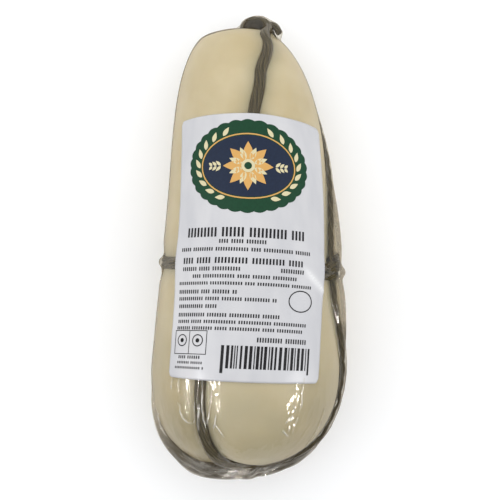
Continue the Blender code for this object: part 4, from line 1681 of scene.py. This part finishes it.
    def seam(self, heights: Array) -> tuple[Array, Array, Array]:
        """The seam round the pack.

        Args:
            heights: The skin's heights at the loft's points.

        Returns:
            Evenly spaced points on the skin, outward directions, and reaches, negative on the pack's left.
        """
        loft = self.loft
        right = int(np.argmin(np.abs(loft.angle[len(loft.angle) // 2] - RIGHT_SEAM.angle(0.5))))
        foot, head, *skin = loft.raised(heights)
        raised = np.reshape(skin, loft.points.shape)
        points = np.concatenate([[foot], raised[:, right], [head], raised[::-1, 0], [foot]])
        normals = np.concatenate([loft.pole_normals[:1], loft.normals[:, right], loft.pole_normals[1:],
                                  loft.normals[::-1, 0], loft.pole_normals[:1]])
        head_reach = loft.form.full_reach
        reach = np.concatenate([[0.0], loft.reach[:, right], [head_reach], loft.reach[::-1, 0], [0.0]])
        travel = travelled(points)
        even = np.linspace(0.0, travel[-1], round(travel[-1] / self.fin_spacing), endpoint=False)
        signs = np.where(even < travel[len(loft.angle) + 1], 1.0, -1.0)
        base, out = [np.stack([np.interp(even, travel, column) for column in values.T], axis=1)
                     for values in (points, normals)]
        return base, unit(out), signs * np.interp(even, travel, reach)

    def fins(self, heights: Array) -> Object:
        """Makes the sealed seam: pleated strips that stand out of the skin all the way round.

        Args:
            heights: The skin's heights at the loft's points.

        Returns:
            The strips.
        """
        base, normals, reach = self.seam(heights)
        width = self.fin_width(reach)
        aside = unit(np.cross(normals, unit(np.roll(base, -1, axis=0) - np.roll(base, 1, axis=0))))
        count = len(base)
        travel = np.arange(count) * self.fin_spacing
        broad = smooth(width / self.fin_foot)
        edge = base + normals * width[:, None]
        shifts = range(-self.edge_window, self.edge_window + 1)
        evened = np.mean([np.roll(edge, shift, axis=0) for shift in shifts], axis=0)
        reach_out = edge + (evened - edge) * broad[:, None] - base
        share_up = self.loft.form.share(np.abs(reach))
        beside_cord = (reach > 0.0) * smooth((self.white_share - share_up) / self.band_step)
        density = self.fin_density * np.maximum(broad, self.right_density * beside_cord)
        points, faces, grain = [], [], []
        for layer, lean in enumerate(self.fin_leans):
            seed = 3.0 + 5.0 * layer
            for step in range(self.fin_rows):
                share = step / (self.fin_rows - 1)
                apart = np.full((count, 2), (0.009 * share, 0.05 * layer))
                spot = np.column_stack([travel + 0.007 * share, apart])
                fine = fractal(spot, self.fine_size, 3, seed)
                slow = fractal(spot, self.slow_size, 2, seed + 4.0)
                sway = 0.3 * fine + 0.8 * slow + 0.5 * lean
                sway = self.ruffle * share**0.7 * sway * (0.15 + 0.85 * broad)
                trim = 1.0 - 0.1 * abs(lean) - 0.05 * fractal(spot, self.trim_size, 2, seed + 1.0)
                points.append(base + reach_out * (share * trim)[:, None] + aside * sway[:, None])
                grain.append(spot * np.array([0.22, 1.0, 1.0]))
            faces += grid_faces(self.fin_rows, count, layer * self.fin_rows * count, True)
        finish = BarrierFilm("Creased vacuum film", "#F4F2ED", "#C9C4B9", haze=0.9, strongest_gloss=0.2,
                             crease=0.0021, crease_depth=0.0006)
        piece = mesh_object("film_fins", np.concatenate(points) + self.shift, faces, finish.make())
        store(piece.data, "slack", np.full(len(piece.data.vertices), 1.0))
        store(piece.data, "layered", np.tile(density, self.fin_rows * len(self.fin_leans)))
        store(piece.data, "grain", np.concatenate(grain))
        return piece


# --- The label ---


@dataclass
class Label:
    """The paper label: a rounded sheet laid on the film, with a crease, and its print."""

    form: CheeseForm
    relief: Relief
    shift: Array
    width: float = 0.0674
    height: float = 0.1103
    corner: float = 0.002
    foot_share: float = 0.2036
    tilt: float = -2.2
    droop: float = 1.33
    lift: float = 0.00075
    bridge: float = 0.0095
    paper: float = 0.00012
    step: float = 0.0009
    over_cord: float = 0.00045
    wave: float = 0.00008
    wave_size: float = 0.014
    crease: tuple[Pair, ...] = ((0.0212, -0.0062), (0.0332, -0.0158))
    crease_height: float = 0.00055
    crease_start: float = 0.006
    crease_width: float = 0.0009

    @cached_property
    def arcs(self) -> tuple[Array, Array]:
        """Measures a section of half width 1.

        Returns:
            Angles, and the arc's length at each.
        """
        angle = np.linspace(0.0, math.pi, 400)
        middle = (angle[1:] + angle[:-1]) / 2.0
        steps = np.hypot(np.cos(middle), self.form.depth_ratio * np.sin(middle)) * np.diff(angle)
        return angle, np.concatenate([[0.0], np.cumsum(steps)])

    def place(self, x: Array, y: Array) -> tuple[Array, Array]:
        """Finds where the flat label's points lie on the form.

        Args:
            x: Their places to the right of its middle.
            y: Their places up from its middle.

        Returns:
            Their reaches and angles.
        """
        tilt = math.radians(self.tilt)
        across = x * math.cos(tilt) - y * math.sin(tilt)
        reach = self.form.reach(self.foot_share) + self.height / 2.0 + x * math.sin(tilt) + y * math.cos(tilt)
        near = 0.001
        narrowing = (self.form.width(reach - near) - self.form.width(reach + near)) / (
            2.0 * near * self.form.width(reach))
        reach = reach - self.droop * np.maximum(0.0, narrowing) * across**2 / 2.0
        angle = np.interp(np.abs(across) / self.form.width(reach), self.arcs[1], self.arcs[0])
        return reach, np.copysign(angle, across)

    def build(self) -> Object:
        """Makes the sheet.

        Returns:
            The sheet, which is thickened later.
        """
        across = np.linspace(-0.5, 0.5, round(self.width / self.step) + 1) * self.width
        up = np.linspace(-0.5, 0.5, round(self.height / self.step) + 1) * self.height
        x, y = np.meshgrid(across, up)
        edge_x = self.width / 2.0 - np.abs(x)
        edge_y = self.height / 2.0 - np.abs(y)
        inset = np.where(edge_x < self.corner, self.corner - np.sqrt(np.maximum(
            self.corner**2 - (self.corner - edge_x) ** 2, 0.0)), 0.0)
        y = np.where(edge_y < inset, np.sign(y) * (self.height / 2.0 - inset), y)
        reach, angle = self.place(x, y)
        plain = self.form.surface(reach, angle)
        flat = plain.reshape(-1, 3)
        height = self.drape(flat).reshape(x.shape)
        height += self.wave * fractal(flat, self.wave_size, 2, 4.0).reshape(x.shape)
        crease = self.fold(x, y)
        height += self.crease_height * crease
        points = plain + self.form.outward(reach, angle) * height[..., None] + self.shift
        piece = mesh_object("label_sheet", points.reshape(-1, 3), grid_faces(*x.shape), CoatedPaper().make())
        # The crease's lighter paper is partly worn coating, partly painted highlight.
        store(piece.data, "bent", 0.9 * crease.reshape(-1))
        chart = piece.data.uv_layers.new(name="UVMap")
        flat_place = np.stack([x / self.width + 0.5, y / self.height + 0.5], axis=-1).reshape(-1, 2)
        corners = np.empty(len(piece.data.loops), np.int32)
        piece.data.loops.foreach_get("vertex_index", corners)
        chart.data.foreach_set("uv", flat_place[corners].astype(np.float32).reshape(-1))
        return piece

    def drape(self, points: Array) -> Array:
        """Lays the sheet on the film, bridging widely over the cords.

        Args:
            points: Points of the plain surface.

        Returns:
            The sheet's height over each.
        """
        height = np.full(len(points), self.lift)
        for apart, lift in self.relief.near(points)[:3]:
            rise = lift + self.relief.harness.cord_radius + self.over_cord - self.lift
            height = np.maximum(height, self.lift + rise * np.exp(-((apart / self.bridge) ** 2)))
        return height

    def fold(self, x: Array, y: Array) -> Array:
        """Finds the slanting crease at the right edge.

        Args:
            x: Places to the right of the label's middle.
            y: Places up from it.

        Returns:
            How strong the crease is at each, from 0 to 1.
        """
        start, end = np.array(self.crease)
        along = (end - start) / np.linalg.norm(end - start)
        offset = np.stack([x - start[0], y - start[1]], axis=-1)
        travel = offset @ along
        beside = offset @ np.array([-along[1], along[0]])
        return smooth(travel / self.crease_start) * np.exp(-np.abs(beside) / self.crease_width)

    def thicken(self, piece: Object) -> None:
        """Gives the sheet its thickness, downwards, once the print has been laid on it."""
        wall = piece.modifiers.new("Paper thickness", "SOLIDIFY")
        wall.thickness, wall.offset = self.paper, -1.0


@dataclass(frozen=True)
class HatchRow:
    """A row of hatch: its span, its middle's height and its full height, in millimetres."""

    left: float
    right: float
    level: float
    size: float
    heavy: bool = True
    tall: bool = False

    def bars(self, draw: random.Random) -> Bars:
        """Hatches the row with runs of equal upright strokes.

        Args:
            draw: Where the runs' lengths are drawn from.

        Returns:
            The strokes.
        """
        stroke = max(0.56 if self.heavy else 0.5, 0.22 * self.size)
        height = self.size * (1.0 if self.tall else 0.74)
        x = self.left
        found = []
        while x < self.right - 0.5 * self.size:
            for _ in range(draw.randint(4, 14)):
                if x + stroke > self.right:
                    break
                found.append((x + stroke / 2.0, self.level - (self.size - height) / 2.0, stroke, height))
                x += 1.85 * stroke
            x += 0.42 * self.size
        return found


# Outlines are lists of points in millimetres round the label's middle.


def oval(x: float, y: float, half_width: float, half_height: float, count: int = 48) -> Outline:
    """An oval's outline."""
    turns = [math.tau * k / count for k in range(count)]
    return [(x + half_width * math.cos(turn), y + half_height * math.sin(turn)) for turn in turns]


def petal(x: float, y: float, turn: float, start: float, length: float, half: float) -> Outline:
    """A pointed leaf, which points away from a point.

    Args:
        x: The point's place across.
        y: Its place up.
        turn: The leaf's direction, in radians.
        start: How far from the point it starts.
        length: Its length.
        half: Half its width.

    Returns:
        The leaf's outline.
    """
    shares = [k / 12 for k in range(12)]
    rim = []
    for side, steps in ((1.0, shares), (-1.0, [1.0 - share for share in shares])):
        rim += [(start + length * step, side * half * math.sin(math.pi * step**0.8)) for step in steps]
    cosine, sine = math.cos(turn), math.sin(turn)
    return [(x + a * cosine - b * sine, y + a * sine + b * cosine) for a, b in rim]


def ring(x: float, y: float, half_width: float, half_height: float, line: float) -> list[Outline]:
    """An oval ring.

    Args:
        x: Its middle's place across.
        y: Its middle's place up.
        half_width: Half its width.
        half_height: Half its height.
        line: The width of its line.

    Returns:
        Short pieces that meet end to end.
    """
    outer = oval(x, y, half_width, half_height)
    inner = oval(x, y, half_width - line, half_height - line)
    count = len(outer)
    return [[outer[k], outer[(k + 1) % count], inner[(k + 1) % count], inner[k]] for k in range(count)]


@dataclass(frozen=True)
class Ornament:
    """The scalloped oval at the label's top, with a leafy border and a rosette, in millimetres.

    An oval has half its width and half its height; a leaf has its start, its length and half its width.
    """

    centre: Pair = (-1.8, 33.0)
    rim: Pair = (25.3, 18.9)
    scallops: int = 30
    scallop: float = 0.7
    ground: Pair = (19.0, 12.8)
    line: Triple = (19.9, 13.7, 0.55)
    border: Pair = (20.9, 14.8)
    leaves: int = 9
    leaf: Triple = (-0.6, 4.4, 0.95)
    leaf_turn: float = 62.0
    leaf_step: float = 15.5
    petals: int = 8
    broad_petal: Triple = (1.8, 8.4, 1.9)
    small_petal: Triple = (2.6, 5.6, 1.2)
    heart: float = 2.7
    eye: float = 1.5
    sprig: Triple = (0.2, 3.0, 0.62)
    sprig_slope: float = 0.75
    sprig_place: float = 11.0
    sprig_step: float = 1.9
    sprig_shrink: float = 0.5

    def layers(self) -> dict[Ink, list[tuple[int, list[Outline]]]]:
        """Draws it.

        Returns:
            For each ink, its layers and their outlines.
        """
        x, y = self.centre
        rim, leaves, sprigs = [], [], []
        for k in range(self.scallops * 6):
            turn = math.tau * k / (self.scallops * 6)
            bump = self.scallop * abs(math.sin(turn * self.scallops / 2.0))
            rim.append((x + (self.rim[0] + bump) * math.cos(turn), y + (self.rim[1] + bump) * math.sin(turn)))
        start, length, half = self.sprig
        for side in (1.0, -1.0):
            for k in range(self.leaves):
                turn = math.radians(self.leaf_step * k - self.leaf_turn)
                place = (x + side * self.border[0] * math.cos(turn), y + self.border[1] * math.sin(turn))
                heading = turn + math.radians(self.leaf_turn)
                leaves.append(petal(*place, heading if side > 0.0 else math.pi - heading, *self.leaf))
            for k in range(3):
                place = x + side * (self.sprig_place + self.sprig_step * k)
                for slope in (self.sprig_slope, -self.sprig_slope):
                    turn = slope if side > 0.0 else math.pi - slope
                    sprigs.append(petal(place, y, turn, start, length - self.sprig_shrink * k, half))
        count = self.petals
        broad, small = [[petal(x, y, math.tau * (k + shift) / count, *sizes) for k in range(count)]
                        for shift, sizes in ((0.0, self.broad_petal), (0.5, self.small_petal))]
        return {
            Ink.GREEN: [(1, [rim]), (5, [oval(x, y, self.eye, self.eye, 20)])],
            Ink.NAVY: [(2, [oval(x, y, *self.ground, 64)])],
            Ink.TAN: [(3, broad), (2, ring(x, y, *self.line))],
            Ink.CREAM: [(3, small + sprigs), (2, leaves), (4, [oval(x, y, self.heart, self.heart, 28)])],
        }


@dataclass
class LabelPrint:
    """The label's print: rows of hatch, frames, a field of upright bars, rings and an ornament."""

    label: Label
    sheet: Object
    layer: float = 0.00007
    cut: float = 1.4
    seed: int = 7
    field_span: Pair = (-9.2, 27.6)
    field_levels: Pair = (-40.5, -49.8)
    field_widths: tuple[float, ...] = (0.45, 0.45, 0.84, 1.2)
    field_gaps: tuple[float, ...] = (0.5, 0.5, 0.7, 0.7, 0.95)
    long_spans: tuple[Pair, ...] = ((-9.2, -7.8), (8.4, 10.0), (26.2, 27.6))
    long_drop: float = 2.0
    frame_uprights: Triple = (-31.0, -23.4, -15.4)
    frame_levels: Pair = (-34.9, -44.5)
    frame_line: float = 0.3
    oval_ring: tuple[float, ...] = (22.3, -21.4, 5.5, 4.5, 0.46)
    mark_places: Pair = (-27.2, -19.4)
    mark_level: float = -38.9
    mark_ring: Triple = (2.5, 2.5, 0.42)
    mark_dot: Pair = (0.9, 0.9)
    rows: tuple[HatchRow, ...] = tuple(HatchRow(*row) for row in (
        (-27.5, 23.8, 5.6, 3.9, True, True), (-12.6, 7.3, 2.1, 2.17), (-30.0, 26.8, -1.2, 2.05),
        (-28.6, 25.2, -5.7, 3.31), (-28.7, -3.0, -9.3, 2.17), (12.8, 24.5, -9.2, 2.28),
        (-23.6, 19.8, -12.3, 1.94), (-30.6, 26.8, -15.2, 1.71), (-30.5, -3.6, -18.6, 2.17),
        (-30.4, 12.0, -21.5, 1.94), (-30.2, -10.2, -24.6, 2.05), (-30.2, 14.1, -28.1, 2.05),
        (-30.1, 26.3, -30.9, 1.82), (-30.4, 24.5, -33.6, 1.82), (-28.5, -17.0, -45.6, 1.71),
        (-28.9, -16.6, -47.9, 1.37, False), (-30.1, -15.4, -50.1, 1.37, False), (4.9, 25.8, -37.6, 2.62)))

    def bars(self, name: str, bars: Bars, ink: Ink, up: int = 2, across: int = 2) -> Object:
        """Prints upright bars.

        Args:
            name: The new part's name.
            bars: For each bar its middle across and up, its width and its height, in millimetres.
            ink: The ink.
            up: How many points each has up its height.
            across: How many points each has across its width.

        Returns:
            The printed bars, bent onto the label.
        """
        table = np.array(bars) * MM
        seed = bpy.data.meshes.new(name)
        centres = np.column_stack([table[:, 0], table[:, 1], np.full(len(table), self.layer)])
        seed.from_pydata(centres.tolist(), [], [])
        store(seed, "size", np.column_stack([table[:, 2], table[:, 3], np.ones(len(table))]))
        return self.mark_tree.grow(name, seed, {"Across": across, "Up": up, **self.wrapping(ink)})

    def wrapping(self, ink: Ink) -> dict[str, Any]:
        """The values that every tree of the print takes."""
        return {"Label": self.sheet, "Width": self.label.width, "Height": self.label.height,
                "Material": self.inks[ink]}

    def field_bars(self, draw: random.Random) -> Bars:
        """Fills the field at the lower right with upright bars.

        Args:
            draw: Where their widths are drawn from.

        Returns:
            The bars.
        """
        (x, right), (top, foot) = self.field_span, self.field_levels
        found = []
        while x < right:
            width = draw.choice(self.field_widths)
            low = foot - self.long_drop * any(start <= x < end for start, end in self.long_spans)
            found.append((x + width / 2.0, (top + low) / 2.0, width, top - low))
            x += width + draw.choice(self.field_gaps)
        return found

    def frames(self) -> Bars:
        """Rules the two framed boxes at the lower left.

        Returns:
            The rules, as bars.
        """
        (left, _, right), (top, foot), line = self.frame_uprights, self.frame_levels, self.frame_line
        uprights = [(x, (top + foot) / 2.0, line, top - foot) for x in self.frame_uprights]
        return uprights + [((left + right) / 2.0, y, right - left + line, line) for y in (top, foot)]

    def signs(self) -> list[Outline]:
        """Draws the oval ring at the right and the marks in the framed boxes.

        Returns:
            Their outlines.
        """
        found = ring(*self.oval_ring)
        for x in self.mark_places:
            found += ring(x, self.mark_level, *self.mark_ring)
            found.append(oval(x, self.mark_level, *self.mark_dot, 16))
        return found

    def build(self) -> list[Object]:
        """Makes the print, one piece for each ink.

        Returns:
            The pieces.
        """
        self.mark_tree, self.shape_tree = mark_tree(), shape_tree()
        self.inks = {ink: ink.finish() for ink in Ink}
        draw = random.Random(self.seed)
        hatch = [bar for row in self.rows for bar in row.bars(draw)]
        black = [self.bars("rows", hatch, Ink.BLACK),
                 self.bars("field", self.field_bars(draw), Ink.BLACK, up=6),
                 self.bars("frames", self.frames(), Ink.BLACK, up=6, across=8),
                 self.shapes("signs", self.signs(), Ink.BLACK, 1)]
        pieces = [join("print_black", black)]
        for ink, outlines in Ornament().layers().items():
            layers = [self.shapes(f"layer_{k}", shapes, ink, k) for k, shapes in outlines]
            pieces.append(join("print_" + ink.name.lower(), layers))
        for piece in pieces:
            seat(piece, "label_ink")
        return pieces

    def shapes(self, name: str, outlines: Sequence[Outline], ink: Ink, layer: int) -> Object:
        """Prints flat shapes.

        Args:
            name: The new part's name.
            outlines: The outlines, in millimetres.
            ink: The ink.
            layer: How many layers of ink it lies over the paper.

        Returns:
            The shapes, cut small enough to bend, on the label.
        """
        work = bmesh.new()
        for outline in outlines:
            work.faces.new([work.verts.new((x * MM, y * MM, layer * self.layer)) for x, y in outline])
        corners = np.concatenate([np.array(outline) for outline in outlines])
        axes = ((1.0, 0.0, 0.0), (0.0, 1.0, 0.0))
        for axis, start, end in zip(axes, corners.min(axis=0).tolist(), corners.max(axis=0).tolist()):
            for k in range(1, int((end - start) / self.cut) + 1):
                spot = [(start + self.cut * k) * MM * part for part in axis]
                everything = work.verts[:] + work.edges[:] + work.faces[:]
                bmesh.ops.bisect_plane(work, geom=everything, plane_co=spot, plane_no=axis)
        bmesh.ops.triangulate(work, faces=work.faces)
        for face in work.faces:
            if face.normal.z < 0.0:
                face.normal_flip()
        seed = bpy.data.meshes.new(name)
        work.to_mesh(seed)
        work.free()
        return self.shape_tree.grow(name, seed, self.wrapping(ink))


# --- The stage ---


@dataclass(frozen=True)
class Softbox:
    """A strip light for the film's highlights only: its place, its aim, its sides and its power in watts."""

    name: str
    place: Triple
    aim: Triple
    size: Pair
    power: float
    warmth: str = "#FFFFFF"

    def build(self) -> None:
        """Makes the light."""
        data = bpy.data.lights.new(self.name, "AREA")
        data.shape = "RECTANGLE"
        data.size, data.size_y = self.size
        data.energy = self.power
        data.color = linear(self.warmth)[:3]
        lamp = placed(self.name, data)
        lamp.location = self.place
        lamp.visible_diffuse = False
        lamp.rotation_euler = (Vector(self.aim) - Vector(self.place)).to_track_quat("-Z", "Y").to_euler()


@dataclass
class Studio:
    """The pale floor, the soft lights and the camera, which looks straight down from the photo's place."""

    camera_height: float = 0.75
    camera_place: Pair = (0.0002, -0.0022)
    sensor: float = 36.0
    lens: float = 120.45
    floor_size: float = 6.0
    floor_glow: float = 0.08
    bright_side: Triple = (-0.02, 0.66, 0.72)
    dim: float = 0.36
    bright: float = 1.42
    lights: tuple[Softbox, ...] = (
        Softbox("right_strip", (0.54, -0.26, 0.4), (0.016, -0.26, 0.068), (0.4, 0.018), 2.6),
        Softbox("left_strip", (-0.5, -0.26, 0.46), (-0.025, -0.26, 0.064), (0.4, 0.018), 4.2),
    )

    def sky(self) -> bpy.types.World:
        """Makes a soft sky that is brightest over the head's side.

        Returns:
            The world.
        """
        world = bpy.data.worlds.new("Soft daylight")
        world.use_nodes = True
        add = partial(add_node, world.node_tree)
        away = add("TexCoord").outputs["Generated"]
        toward = add("VectorMath DOT_PRODUCT", (away, tuple(Vector(self.bright_side).normalized())))
        level = add("MapRange", {"Value": toward.outputs["Value"], "From Min": -0.8, "From Max": 1.0,
                                 "To Min": self.dim, "To Max": self.bright}, interpolation_type="SMOOTHSTEP")
        feed(world.node_tree.nodes["Background"], {"Color": "#F7F8FB", "Strength": level})
        return world

    def build(self) -> None:
        """Makes the stage."""
        for light in self.lights:
            light.build()
        half = self.floor_size / 2.0
        material, _, shader = Finish("Matte white floor").start()
        feed(shader, {"Base Color": "#FBFBFA", "Emission Color": "#FFFFFF",
                      "Emission Strength": self.floor_glow, "Roughness": 0.9})
        corners = [(-half, -half, 0.0), (half, -half, 0.0), (half, half, 0.0), (-half, half, 0.0)]
        mesh_object("floor", np.array(corners), [(0, 1, 2, 3)], material)
        scene = bpy.context.scene
        scene.world = self.sky()
        scene.view_settings.view_transform = "Standard"
        camera = placed("camera", bpy.data.cameras.new("camera"))
        camera.data.sensor_width = self.sensor
        camera.data.lens = self.lens
        camera.data.clip_start = 0.01
        camera.location = (*self.camera_place, self.camera_height)
        scene.camera = camera


def place_in_frame(loft: Loft, relief: Relief) -> Array:
    """Sets the form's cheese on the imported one.

    Args:
        loft: The loft.
        relief: The cheese's heights.

    Returns:
        The shift from the form's own place to the frame.
    """
    points = loft.flat_points()
    heights = relief.cheese(points, relief.near(points)) - relief.plump
    shape = loft.raised(heights)
    low, high = (np.array(corner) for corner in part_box("cheese"))
    own_low, own_high = shape.min(axis=0), shape.max(axis=0)
    shift = (low + high - own_low - own_high) / 2.0
    shift[2] = low[2] - own_low[2]
    return shift


def main() -> None:
    """Builds the pack, piece by piece."""
    logging.basicConfig(level=logging.INFO, format="%(message)s")
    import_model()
    Studio().build()
    form = CheeseForm()
    harness = Harness(form)
    relief = Relief(harness)
    loft = Loft(form, harness)
    shift = place_in_frame(loft, relief)
    Cheese(loft, relief, shift).build()
    CordHarness(harness, shift).build()
    VacuumBag(loft, relief, shift).build()
    label = Label(form, relief, shift)
    sheet = label.build()
    LabelPrint(label, sheet).build()
    label.thicken(sheet)
    seat(sheet, "label_paper", "label")


if __name__ == "__main__":
    main()
